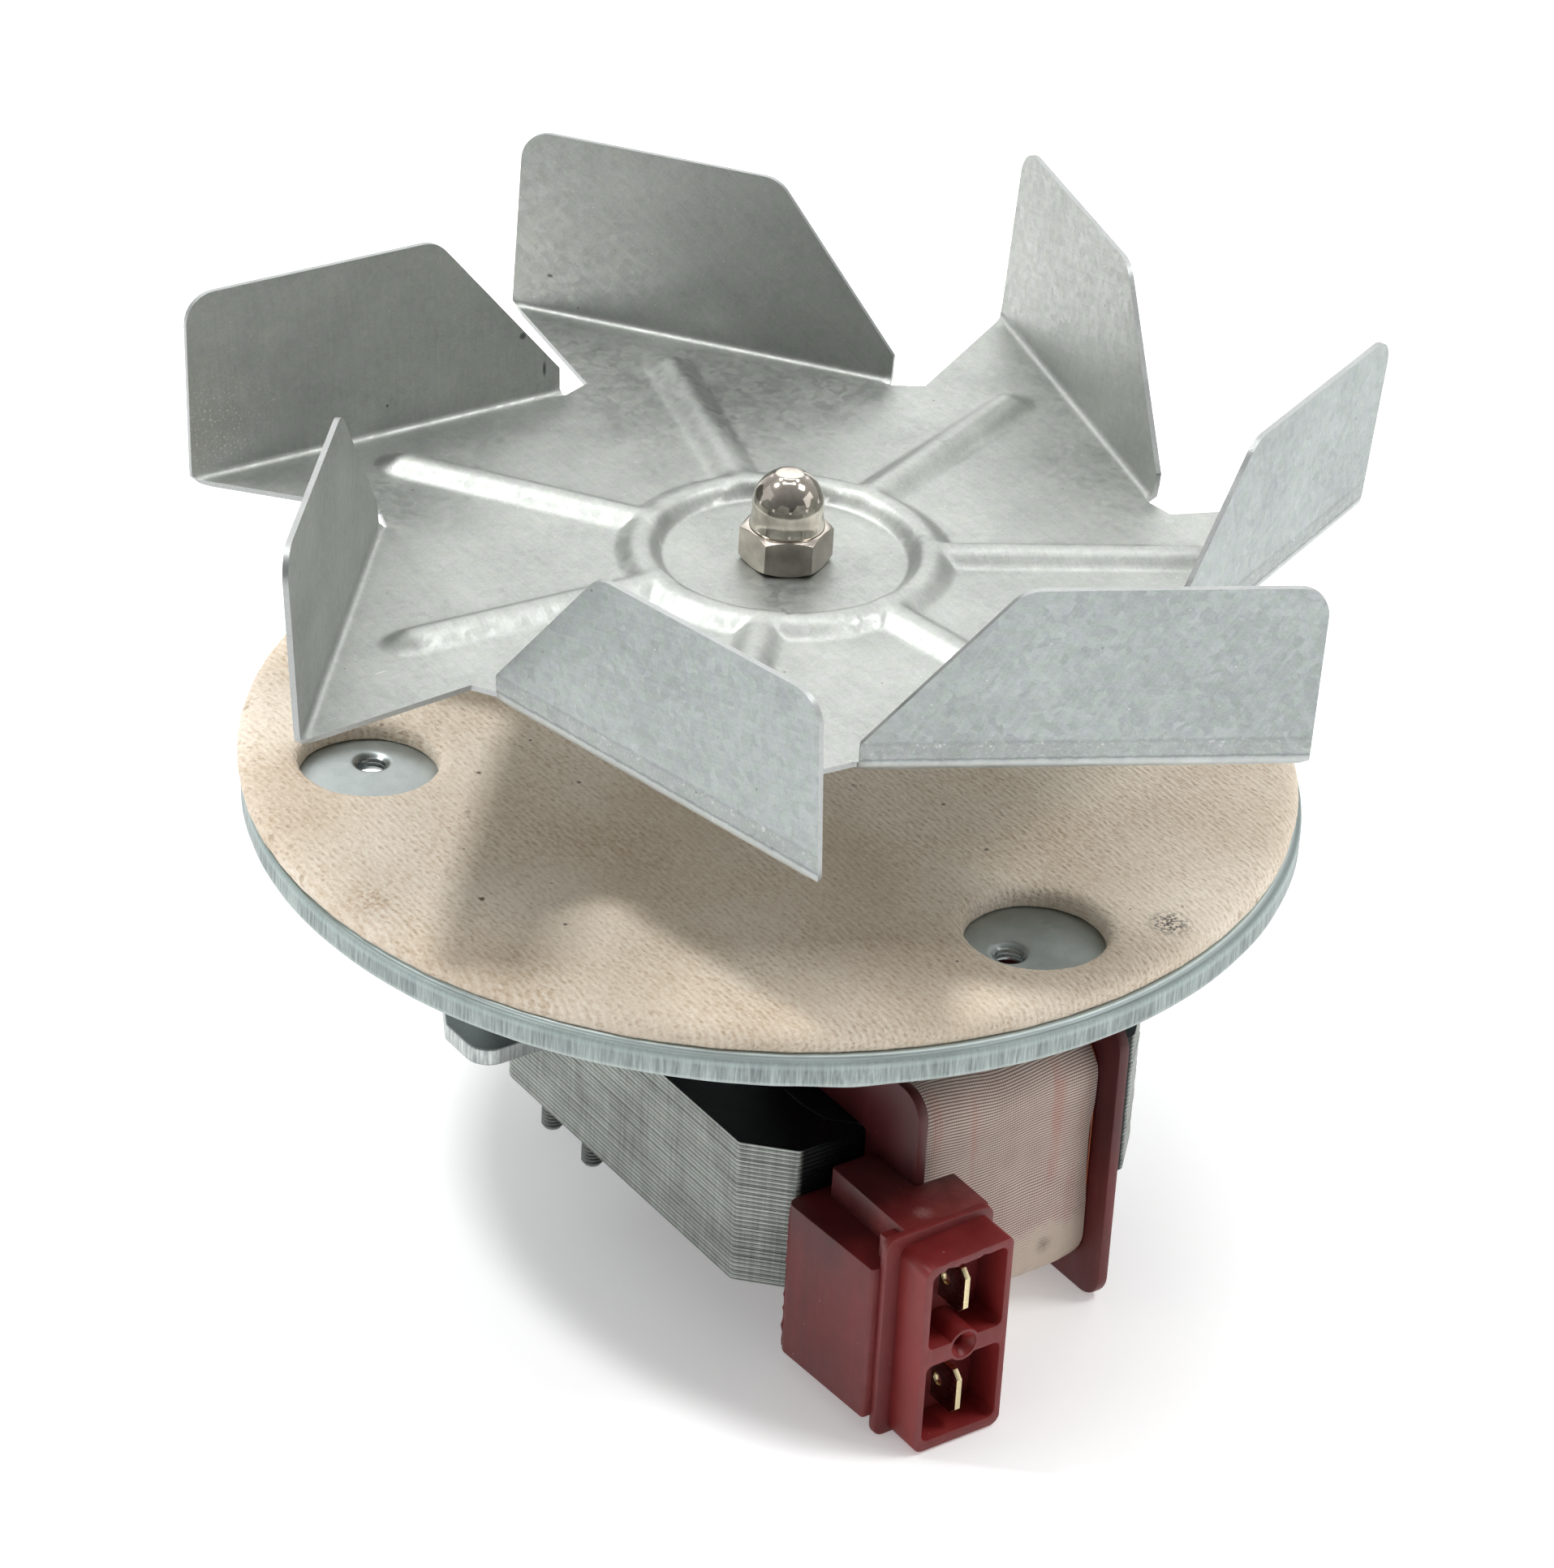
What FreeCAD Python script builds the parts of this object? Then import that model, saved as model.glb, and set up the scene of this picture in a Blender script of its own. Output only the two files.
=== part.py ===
import FreeCAD, Part
import Sketcher
import math
import os

# Oven fan motor: a folded seven blade fan wheel on a shaded pole motor, behind a round mounting plate.
# Frame: Z is the shaft, pointing at the fan wheel. Z = 0 is the fan side of the mounting plate.
# -Y points at the terminals. All sizes are millimetres and degrees.

doc = FreeCAD.newDocument("oven_fan_motor")
sheet = doc.addObject("Spreadsheet::Sheet", "sizes")

SIZES = (
    ("wheel_level", 28.9, "underside of the wheel disc"),
    ("wheel_sheet", 0.7, "sheet thickness of the wheel"),
    ("wheel_tip_radius", 75.0, "outer end of each fold"),
    ("blade_count", 7, "blades"),
    ("first_tip_angle", 135.6, "angle of the first blade tip"),
    ("fold_angle", 42.25, "fold line against the radius at the tip"),
    ("fold_length", 52.7, "length of each fold"),
    ("notch_run", 57.1, "from the tip along the fold line to the notch"),
    ("blade_height", 25.1, "blade, bottom to top edge"),
    ("blade_lean", 4.15, "lean of the blade away from the shaft"),
    ("blade_inner_height", 4.1, "blade height at its inner end"),
    ("blade_top_run", 35.0, "length of the blade's top edge"),
    ("blade_corner", 3.8, "rounded top corners of the blade"),
    ("bend_radius", 0.9, "inside radius of the fold"),
    ("hub_flat_radius", 15.0, "flat that the nut bears on"),
    ("hub_rise", -0.3, "height of that flat above the disc"),
    ("bead_radius", 17.7, "middle of the round bead"),
    ("bead_outer_radius", 21.0, "foot of the round bead"),
    ("bead_rise", 1.8, "height of bead and ribs above the disc"),
    ("rib_width", 5.6, "width of each rib at the disc"),
    ("rib_end_radius", 54.5, "outer end of each rib"),
    ("rib_lag", 11.5, "rib angle behind its blade tip"),
    ("wheel_bore_radius", 3.05, "hole for the shaft in the wheel"),
    ("nut_across_flats", 10.0, "cap nut hexagon"),
    ("nut_hex_height", 4.8, "cap nut hexagon height"),
    ("nut_turn", 29.0, "angle of a corner of the cap nut"),
    ("nut_height", 12.1, "cap nut total height"),
    ("nut_dome_radius", 4.4, "cap nut dome"),
    ("shaft_radius", 3.0, "motor shaft"),
    ("thread_radius", 2.95, "threaded end of the shaft"),
    ("seat_radius", 6.0, "collar under the wheel"),
    ("seat_height", 8.0, "height of that collar"),
    ("pad_radius", 66.2, "insulation pad"),
    ("pad_thickness", 3.0, "insulation pad"),
    ("pad_edge", 1.2, "worn round edge of the pad"),
    ("pad_shift_x", 0.2, "pad centre against the shaft"),
    ("pad_shift_y", 1.3, "pad centre against the shaft"),
    ("pad_bore_radius", 9.0, "shaft opening in the pad"),
    ("pad_cutout_radius", 8.6, "cut-outs over the bosses"),
    ("pad_cutout_circle", 50.5, "circle of the cut-outs"),
    ("pad_turn", 3.9, "pad turned against the bosses"),
    ("plate_radius", 66.2, "mounting plate"),
    ("plate_sheet", 1.0, "mounting plate sheet"),
    ("plate_rim", 3.8, "turned-down rim, height over all"),
    ("plate_corner", 1.1, "outer corner of the rim"),
    ("plate_bore_radius", 11.0, "shaft opening in the plate"),
    ("boss_circle_radius", 50.0, "circle of the threaded bosses"),
    ("boss_hole_radius", 1.65, "M4 core hole"),
    ("boss_outer_radius", 2.9, "drawn boss below the plate"),
    ("boss_depth", 3.0, "plate face to the boss's lower end"),
    ("first_boss_angle", 30.0, "angle of the first boss"),
    ("post_radius", 3.2, "spacer posts"),
    ("tenon_radius", 2.0, "staked ends of the spacer posts"),
    ("side_post_x", 41.0, "side posts"),
    ("side_post_y", -3.6, "side posts"),
    ("rear_post_y", 23.4, "rear post"),
    ("stack_top", -23.1, "upper face of the lamination stack"),
    ("stack_height", 20.2, "lamination stack"),
    ("stack_half_width", 30.45, "C-shaped core"),
    ("stator_bore_radius", 15.2, "bore for the rotor"),
    ("window_half_width", 15.8, "window between the arms"),
    ("bracket_sheet", 2.5, "motor bracket"),
    ("bracket_half_width", 49.4, "motor bracket ears"),
    ("bracket_front", -11.3, "motor bracket front side"),
    ("bracket_window", 19.6, "window over the rotor in the motor bracket"),
    ("strip_sheet", 1.0, "bearing bracket sheet"),
    ("strip_half_width", 8.0, "bearing bracket strips"),
    ("cup_radius", 6.4, "bearing seat in each cup"),
    ("shaft_way_radius", 4.2, "opening for the shaft in the upper cup"),
    ("lower_cup_bottom", -53.5, "lowest point of the motor"),
    ("bush_bore_radius", 3.03, "running bore of the bushes"),
    ("washer_radius", 5.0, "thrust washers and sleeves"),
    ("rotor_radius", 14.8, "rotor"),
    ("rotor_bar_radius", 1.1, "cage bars"),
    ("rotor_bar_circle", 12.6, "circle of the cage bars"),
    ("rotor_bar_count", 17, "cage bars"),
    ("end_ring_radius", 14.3, "cage end rings"),
    ("end_ring_height", 2.5, "cage end rings"),
    ("shading_wire_radius", 1.1, "shading rings"),
    ("shading_circle", 17.4, "circle of the shading ring holes"),
    ("screw_radius", 1.45, "M3 screws"),
    ("screw_hole_radius", 1.75, "screw holes through the stack"),
    ("screw_x", 27.9, "screws, either side of the shaft"),
    ("screw_y", 4.7, "screws, either side of the shaft"),
    ("screw_tip", -48.1, "rounded ends of the screws"),
    ("core_half_length", 19.3, "straight leg through the coil"),
    ("core_front", -44.8, "straight leg, front side"),
    ("core_rear", -32.9, "straight leg, rear side"),
    ("flange_outer", 15.7, "coil bobbin flanges, outer faces"),
    ("flange_sheet", 1.5, "coil bobbin flanges"),
    ("flange_front", -55.3, "flange front edge"),
    ("flange_rear", -22.3, "flange rear edge"),
    ("flange_top", -13.1, "flange top edge"),
    ("flange_bottom", -53.5, "flange bottom edge"),
    ("coil_half_length", 14.1, "coil between the flanges"),
    ("coil_front", -52.4, "taped coil, front side"),
    ("coil_rear", -25.2, "taped coil, rear side"),
    ("coil_half_height", 17.5, "taped coil"),
    ("coil_corner", 5.5, "taped coil corners"),
    ("tape_sheet", 0.8, "glass tape layers"),
    ("collar_front", -69.0, "mouth of the terminal housing"),
    ("collar_rear", -62.4, "root of the terminal collar"),
    ("cavity_depth", 6.4, "depth of the terminal cavities"),
    ("block_bottom", -50.8, "underside of the terminal block"),
    ("slab_top", -24.95, "top of the raised slab on the block"),
    ("slab_left", -22.1, "left side of the slab"),
    ("slab_right", -10.0, "right side of the slab"),
    ("tab_sheet", 0.8, "blade terminals"),
    ("tab_width", 6.3, "blade terminals"),
    ("tab_x", -17.0, "middle plane of the blade terminals"),
    ("tab_front", -68.6, "front edge of the blade terminals"),
    ("upper_tab_z", -32.0, "upper blade terminal"),
    ("lower_tab_z", -46.9, "lower blade terminal"),
)

for line, (alias, number, note) in enumerate(SIZES, start=1):
    sheet.set("A%d" % line, note)
    sheet.set("B%d" % line, str(number))
    sheet.setAlias("B%d" % line, alias)
doc.recompute()

nodes = {}


def size(alias):
    return float(sheet.get(alias))


def vector(x, y, z=0.0):
    return FreeCAD.Vector(x, y, z)


def polar(radius, degrees, z=0.0):
    angle = math.radians(degrees)
    return vector(radius * math.cos(angle), radius * math.sin(angle), z)


# Straight edges and corner arcs of a closed outline. A corner is (x, y) or (x, y, radius).
def rounded_edges(corners):
    entries = []
    exits = []
    arcs = []
    count = len(corners)
    for index in range(count):
        here = vector(corners[index][0], corners[index][1])
        before = vector(corners[index - 1][0], corners[index - 1][1]) - here
        after = vector(corners[(index + 1) % count][0], corners[(index + 1) % count][1]) - here
        radius = corners[index][2] if len(corners[index]) > 2 else 0.0
        if radius == 0.0:
            entries.append(here)
            exits.append(here)
            arcs.append(None)
            continue
        before.normalize()
        after.normalize()
        half = before.getAngle(after) / 2.0
        run = radius / math.tan(half)
        middle = before + after
        middle.normalize()
        reach = radius / math.sin(half) - radius
        entries.append(here + before * run)
        exits.append(here + after * run)
        arcs.append(here + middle * reach)
    edges = []
    for index in range(count):
        if arcs[index]:
            edges.append(Part.Arc(entries[index], arcs[index], exits[index]))
        start = exits[index]
        end = entries[(index + 1) % count]
        if (end - start).Length > 1e-6:
            edges.append(Part.LineSegment(start, end))
    return edges


def mirrored(half):
    return list(half) + [(-corner[0],) + tuple(corner[1:]) for corner in reversed(half)]


def box_corners(left, right, low, high, radius=0.0):
    return [(left, low, radius), (right, low, radius), (right, high, radius), (left, high, radius)]


# Sketches and features of one piece
def new_body(node):
    body = doc.addObject("PartDesign::Body", "body_" + node)
    body.Label = node
    nodes[node] = body
    return body


def base_plane(body, role):
    return [plane for plane in body.Origin.OriginFeatures if plane.Role == role][0]


def new_sketch(body, name, role="XY_Plane", level="0"):
    sketch = body.newObject("Sketcher::SketchObject", body.Label + "_" + name)
    sketch.AttachmentSupport = [(base_plane(body, role), "")]
    sketch.MapMode = "FlatFace"
    sketch.setExpression("AttachmentOffset.Base.z", level)
    return sketch


def draw_outline(sketch, corners):
    for edge in rounded_edges(corners):
        sketch.addGeometry(edge, False)


def draw_circle(sketch, centre, alias):
    index = sketch.addGeometry(Part.Circle(centre, vector(0, 0, 1), size(alias)), False)
    rule = sketch.addConstraint(Sketcher.Constraint("Radius", index, size(alias)))
    sketch.setExpression("Constraints[%d]" % rule, "sizes." + alias)


def add_pad(body, sketch, length, backwards=False):
    pad = body.newObject("PartDesign::Pad", sketch.Label + "_pad")
    pad.Profile = sketch
    pad.setExpression("Length", length)
    pad.Reversed = backwards
    doc.recompute()
    return pad


def add_pocket(body, sketch, depth, backwards=False):
    solid_before = body.Shape.Volume
    pocket = body.newObject("PartDesign::Pocket", sketch.Label + "_cut")
    pocket.Profile = sketch
    pocket.setExpression("Length", depth)
    pocket.Reversed = backwards
    doc.recompute()
    if body.Shape.Volume > solid_before - 0.01:
        raise RuntimeError("nothing was cut by " + pocket.Label)
    return pocket


def add_turned(body, name, corners, kind="PartDesign::Revolution"):
    sketch = new_sketch(body, name, "XZ_Plane")
    draw_outline(sketch, corners)
    turned = body.newObject(kind, body.Label + "_" + name + "_turned")
    turned.Profile = sketch
    turned.ReferenceAxis = (sketch, ["V_Axis"])
    turned.Angle = 360.0
    doc.recompute()
    return turned


def add_pattern(body, features, sketch, count):
    pattern = body.newObject("PartDesign::PolarPattern", body.Label + "_pattern")
    pattern.Originals = features
    pattern.Axis = (sketch, ["N_Axis"])
    pattern.Angle = 360.0
    pattern.setExpression("Occurrences", count)
    body.Tip = pattern
    doc.recompute()
    return pattern


def edges_of(feature, test):
    return ["Edge%d" % (index + 1) for index, edge in enumerate(feature.Shape.Edges) if test(edge)]


def is_circle(edge, radius, z):
    if edge.Curve.TypeId != "Part::GeomCircle":
        return False
    return abs(edge.Curve.Radius - radius) < 1e-4 and abs(edge.Curve.Center.z - z) < 1e-4


def add_fillet(body, feature, edges, radius):
    fillet = body.newObject("PartDesign::Fillet", body.Label + "_rounding")
    fillet.Base = (feature, edges)
    fillet.setExpression("Radius", radius)
    doc.recompute()
    return fillet


def cylinder(name, radius, bottom, height):
    solid = doc.addObject("Part::Cylinder", name)
    solid.setExpression("Radius", radius)
    solid.setExpression("Height", height)
    solid.setExpression("Placement.Base.z", bottom)
    return solid


# A plain ring round the shaft: two cylinders, one cut from the other.
def ring(node, bore, radius, bottom, height):
    outside = cylinder(node + "_outside", radius, bottom, height)
    inside = cylinder(node + "_bore", bore, bottom, height)
    cut = doc.addObject("Part::Cut", "cut_" + node)
    cut.Base = outside
    cut.Tool = inside
    cut.Label = node
    nodes[node] = cut
    doc.recompute()
    return cut


def set_shape(node, shape):
    feature = doc.addObject("Part::Feature", "shape_" + node)
    feature.Shape = shape
    feature.Placement = FreeCAD.Placement()
    feature.Label = node
    nodes[node] = feature
    return feature


def face_of(corners):
    wire = Part.Wire([edge.toShape() for edge in rounded_edges(corners)])
    return Part.Face(wire)


def turned_solid(corners):
    face = face_of(corners)
    face.rotate(vector(0, 0, 0), vector(1, 0, 0), 90)
    return face.revolve(vector(0, 0, 0), vector(0, 0, 1), 360)


# Fan wheel: one blank, star shaped, with seven blades folded up along slanting lines
def wheel_disc():
    level = size("wheel_level")
    sheet_thick = size("wheel_sheet")
    slant = math.radians(size("fold_angle"))
    lean = math.radians(size("blade_lean"))
    setback = (size("bend_radius") + sheet_thick) * math.tan((math.pi / 2 - lean) / 2)
    along = vector(-math.cos(slant), -math.sin(slant))
    outward = vector(math.sin(slant), -math.cos(slant))
    tip = vector(size("wheel_tip_radius"), 0)
    notch = tip + along * size("notch_run")
    pitch = 360.0 / size("blade_count")
    lead_start = FreeCAD.Rotation(vector(0, 0, 1), pitch).multVec(notch)
    lead = tip - lead_start
    lead.normalize()
    corner_run = setback / abs(lead.dot(outward))
    tooth = (tip - lead * corner_run, tip + along * size("fold_length") - outward * setback,
             tip + along * size("fold_length") - outward * 0.3, notch)
    corners = []
    for index in range(int(size("blade_count"))):
        turn = FreeCAD.Rotation(vector(0, 0, 1), size("first_tip_angle") - index * pitch)
        for point in tooth:
            place = turn.multVec(point)
            corners.append((place.x, place.y))
    disc = face_of(corners).extrude(vector(0, 0, sheet_thick))
    disc.translate(vector(0, 0, level))
    return disc


# One blade with its bend, standing on the fold line whose outer end is on the X axis
def wheel_blade():
    sheet_thick = size("wheel_sheet")
    slant = math.radians(size("fold_angle"))
    lean = math.radians(size("blade_lean"))
    height = size("blade_height")
    inside = size("bend_radius")
    outside = inside + sheet_thick
    setback = outside * math.tan((math.pi / 2 - lean) / 2)
    upward = vector(math.sin(lean), math.cos(lean))
    inward = vector(-math.cos(lean), math.sin(lean))
    centre = vector(-setback, outside)
    outer_end = upward * setback
    top = upward * height
    middle = vector(0, -1) - inward
    middle.normalize()
    section = Part.Wire([
        Part.Arc(vector(-setback, 0), centre + middle * outside, outer_end).toShape(),
        Part.LineSegment(outer_end, top).toShape(),
        Part.LineSegment(top, top + inward * sheet_thick).toShape(),
        Part.LineSegment(top + inward * sheet_thick, outer_end + inward * sheet_thick).toShape(),
        Part.Arc(outer_end + inward * sheet_thick, centre + middle * inside,
                 vector(-setback, sheet_thick)).toShape(),
        Part.LineSegment(vector(-setback, sheet_thick), vector(-setback, 0)).toShape(),
    ])
    strip = Part.Face(section)
    strip.rotate(vector(0, 0, 0), vector(1, 0, 0), 90)
    strip = strip.extrude(vector(0, -size("fold_length"), 0))
    corner = size("blade_corner")
    outline = [(0, -1), (size("fold_length"), -1), (size("fold_length"), size("blade_inner_height")),
               (size("blade_top_run"), height - 0.05, corner), (0, height - 0.05, corner)]
    template = face_of(outline)
    template.rotate(vector(0, 0, 0), vector(0, 0, 1), -90)
    template.rotate(vector(0, 0, 0), vector(0, 1, 0), -90)
    template = template.extrude(vector(40, 0, 0))
    template.translate(vector(-20, 0, 0))
    template.rotate(vector(0, 0, 0), vector(0, 1, 0), size("blade_lean"))
    blade = strip.common(template)
    blade.rotate(vector(0, 0, 0), vector(0, 0, 1), math.degrees(slant) - 90)
    blade.translate(vector(size("wheel_tip_radius"), 0, size("wheel_level")))
    return blade


# A rib is the part of a long round bar that stands out of the disc. Its inside is a thinner bar.
def wheel_rib(radius, start):
    depth = size("rib_width") ** 2 / 8 / size("bead_rise") - size("bead_rise") / 2
    top = size("wheel_level") + size("wheel_sheet")
    end = size("rib_end_radius") - size("rib_width") / 2
    bar = Part.makeCylinder(radius, end - start, vector(start, 0, top - depth), vector(1, 0, 0))
    ball = Part.makeSphere(radius, vector(end, 0, top - depth))
    return bar.fuse(ball)


def wheel_hub():
    level = size("wheel_level")
    rise = size("bead_rise")
    flat = size("hub_rise")
    inner = size("hub_flat_radius")
    outer = size("bead_outer_radius")
    crest = size("bead_radius")
    upper = [(size("wheel_bore_radius"), flat), (inner, flat, 0.8), (crest - 1.1, rise, 1.4),
             (crest + 0.7, rise, 1.6), (outer - 0.9, 0, 0.9), (outer, 0)]
    sheet_thick = size("wheel_sheet")
    top = [(corner[0], corner[1] + level + sheet_thick) + corner[2:] for corner in upper]
    under = [(corner[0], corner[1] + level) + corner[2:] for corner in reversed(upper)]
    return turned_solid(top + under)


def build_fan_wheel():
    level = size("wheel_level")
    sheet_thick = size("wheel_sheet")
    pitch = 360.0 / size("blade_count")
    outer_bar = size("rib_width") ** 2 / 8 / size("bead_rise") + size("bead_rise") / 2
    disc = wheel_disc()
    disc = disc.cut(Part.makeCylinder(size("bead_outer_radius"), 10, vector(0, 0, level - 5)))
    wheel = disc.fuse(wheel_hub())
    above = Part.makeBox(200, 200, 10, vector(-100, -100, level + sheet_thick / 2))
    blade = wheel_blade()
    outside = wheel_rib(outer_bar, size("bead_radius")).common(above)
    inside = wheel_rib(outer_bar - sheet_thick, size("bead_radius"))
    blades = []
    outsides = []
    insides = []
    for index in range(int(size("blade_count"))):
        tip_angle = size("first_tip_angle") - index * pitch
        for shape, angle, group in ((blade, tip_angle, blades),
                                    (outside, tip_angle - size("rib_lag"), outsides),
                                    (inside, tip_angle - size("rib_lag"), insides)):
            turned = shape.copy()
            turned.rotate(vector(0, 0, 0), vector(0, 0, 1), angle)
            group.append(turned)
    wheel = wheel.multiFuse(blades + outsides)
    wheel = wheel.cut(Part.makeCompound(insides))
    set_shape("fan_wheel", wheel.removeSplitter().Solids[0])


def build_cap_nut():
    base = size("wheel_level") + size("wheel_sheet") + size("hub_rise")
    body = new_body("cap_nut")
    sketch = new_sketch(body, "hexagon", "XY_Plane", "sizes.wheel_level + sizes.wheel_sheet + sizes.hub_rise")
    corner = size("nut_across_flats") / math.sqrt(3)
    points = [polar(corner, size("nut_turn") + 60 * index) for index in range(6)]
    draw_outline(sketch, [(point.x, point.y) for point in points])
    add_pad(body, sketch, "sizes.nut_hex_height")
    dome = size("nut_dome_radius")
    top = base + size("nut_height")
    hexagon = base + size("nut_hex_height")
    add_turned(body, "dome", [(0, hexagon - 1), (dome + 0.25, hexagon - 1), (dome + 0.25, hexagon, 0.3),
                              (dome, hexagon + 1.2, 0.6), (dome, top, dome - 0.1), (0, top)])
    flat = size("nut_across_flats") / 2
    for name, edge, away in (("top_bevel", hexagon, 1), ("foot_bevel", base, -1)):
        add_turned(body, name, [(flat - 0.1, edge + away), (flat - 0.1, edge),
                                (corner + 0.6, edge - away * 0.75), (corner + 0.6, edge + away)],
                   "PartDesign::Groove")
    sketch = new_sketch(body, "bore", "XY_Plane", "sizes.wheel_level + sizes.wheel_sheet + sizes.hub_rise")
    draw_circle(sketch, vector(0, 0), "thread_radius")
    add_pocket(body, sketch, "sizes.nut_height - 2.6", True)


def build_shaft():
    body = new_body("motor_shaft")
    radius = size("shaft_radius")
    thread = size("thread_radius")
    shoulder = size("wheel_level") + size("wheel_sheet")
    bottom = size("lower_cup_bottom") + 1.9
    top = shoulder + size("hub_rise") + size("nut_height") - 3.0
    add_turned(body, "profile", [(0, bottom), (radius - 0.5, bottom), (radius, bottom + 0.5),
                                 (radius, shoulder - 0.9), (thread, shoulder - 0.9),
                                 (thread, top - 0.7), (thread - 0.7, top), (0, top)])
    ring("wheel_seat", "sizes.shaft_radius", "sizes.seat_radius",
         "sizes.wheel_level + sizes.hub_rise - sizes.seat_height", "sizes.seat_height")


def build_mounting_plate():
    body = new_body("mounting_plate")
    radius = size("plate_radius")
    sheet_thick = size("plate_sheet")
    rim = size("plate_rim")
    corner = size("plate_corner")
    add_turned(body, "section", [(size("plate_bore_radius"), -sheet_thick), (size("plate_bore_radius"), 0),
                                 (radius, 0, corner), (radius, -rim), (radius - sheet_thick, -rim),
                                 (radius - sheet_thick, -sheet_thick, corner - 0.8)])
    places = [polar(size("boss_circle_radius"), size("first_boss_angle") + 120 * index) for index in range(3)]
    sketch = new_sketch(body, "bosses")
    for place in places:
        draw_circle(sketch, place, "boss_outer_radius")
    add_pad(body, sketch, "sizes.boss_depth", True)
    sketch = new_sketch(body, "core_holes")
    for place in places:
        draw_circle(sketch, place, "boss_hole_radius")
    add_pocket(body, sketch, "sizes.boss_depth + 1")
    sketch = new_sketch(body, "post_holes")
    for place in post_places():
        draw_circle(sketch, place, "tenon_radius")
    add_pocket(body, sketch, "sizes.plate_sheet + 1")


def build_insulation_pad():
    body = new_body("insulation_pad")
    centre = vector(size("pad_shift_x"), size("pad_shift_y"))
    sketch = new_sketch(body, "outline")
    draw_circle(sketch, centre, "pad_radius")
    disc = add_pad(body, sketch, "sizes.pad_thickness")
    edges = edges_of(disc, lambda edge: is_circle(edge, size("pad_radius"), size("pad_thickness")))
    add_fillet(body, disc, edges, "sizes.pad_edge")
    sketch = new_sketch(body, "openings", "XY_Plane", "sizes.pad_thickness")
    draw_circle(sketch, vector(0, 0), "pad_bore_radius")
    for index in range(3):
        angle = size("first_boss_angle") + size("pad_turn") + 120 * index
        draw_circle(sketch, polar(size("pad_cutout_circle"), angle), "pad_cutout_radius")
    add_pocket(body, sketch, "sizes.pad_thickness + 1")


def post_places():
    x = size("side_post_x")
    y = size("side_post_y")
    return [vector(-x, y), vector(x, y), vector(0, size("rear_post_y"))]


# Three posts hold the mounting plate off the motor bracket, staked into both.
def build_spacer_posts():
    post = size("post_radius")
    tenon = size("tenon_radius")
    low = size("stack_top")
    seat = low + size("bracket_sheet")
    plate = -size("plate_sheet")
    solid = turned_solid([(0, low), (tenon, low), (tenon, seat), (post, seat), (post, plate),
                          (tenon, plate), (tenon, 0), (0, 0)])
    copies = []
    for place in post_places():
        copy = solid.copy()
        copy.translate(place)
        copies.append(copy)
    set_shape("spacer_posts", Part.makeCompound(copies))


def build_motor_bracket():
    body = new_body("motor_bracket")
    width = size("bracket_half_width")
    front = size("bracket_front")
    window = size("bracket_window")
    sketch = new_sketch(body, "outline", "XY_Plane", "sizes.stack_top")
    draw_outline(sketch, mirrored([(width, front, 3.2), (width, -3.3, 1.5), (width - 7.9, 11.5, 8.0),
                                   (24.0, 28.0, 6.0)]))
    add_pad(body, sketch, "sizes.bracket_sheet")
    sketch = new_sketch(body, "window", "XY_Plane", "sizes.stack_top + sizes.bracket_sheet")
    draw_outline(sketch, [(-window, front - 5), (window, front - 5), (window, window, window - 0.05),
                          (-window, window, window - 0.05)])
    add_pocket(body, sketch, "sizes.bracket_sheet + 1")
    sketch = new_sketch(body, "holes", "XY_Plane", "sizes.stack_top + sizes.bracket_sheet")
    for place in post_places():
        draw_circle(sketch, place, "tenon_radius")
    for place in screw_places():
        draw_circle(sketch, place, "screw_hole_radius")
    add_pocket(body, sketch, "sizes.bracket_sheet + 1")


def screw_places():
    x = size("screw_x")
    y = size("screw_y")
    return [vector(x, y), vector(-x, y), vector(-x, -y), vector(x, -y)]


def build_bracket_screws():
    radius = size("screw_radius")
    head = size("stack_top") + size("bracket_sheet") + size("strip_sheet")
    tip = size("screw_tip")
    solid = turned_solid([(0, tip), (radius, tip, radius - 0.25), (radius, head), (2.8, head),
                          (2.8, head + 2.1, 1.2), (0, head + 2.1)])
    slot = Part.makeBox(0.9, 8, 1.2, vector(-0.45, -4, head + 1.1))
    solid = solid.cut(slot)
    copies = []
    for index, place in enumerate(screw_places()):
        copy = solid.copy()
        copy.rotate(vector(0, 0, 0), vector(0, 0, 1), 25 + 70 * index)
        copy.translate(place)
        copies.append(copy)
    set_shape("bracket_screws", Part.makeCompound(copies))


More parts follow.
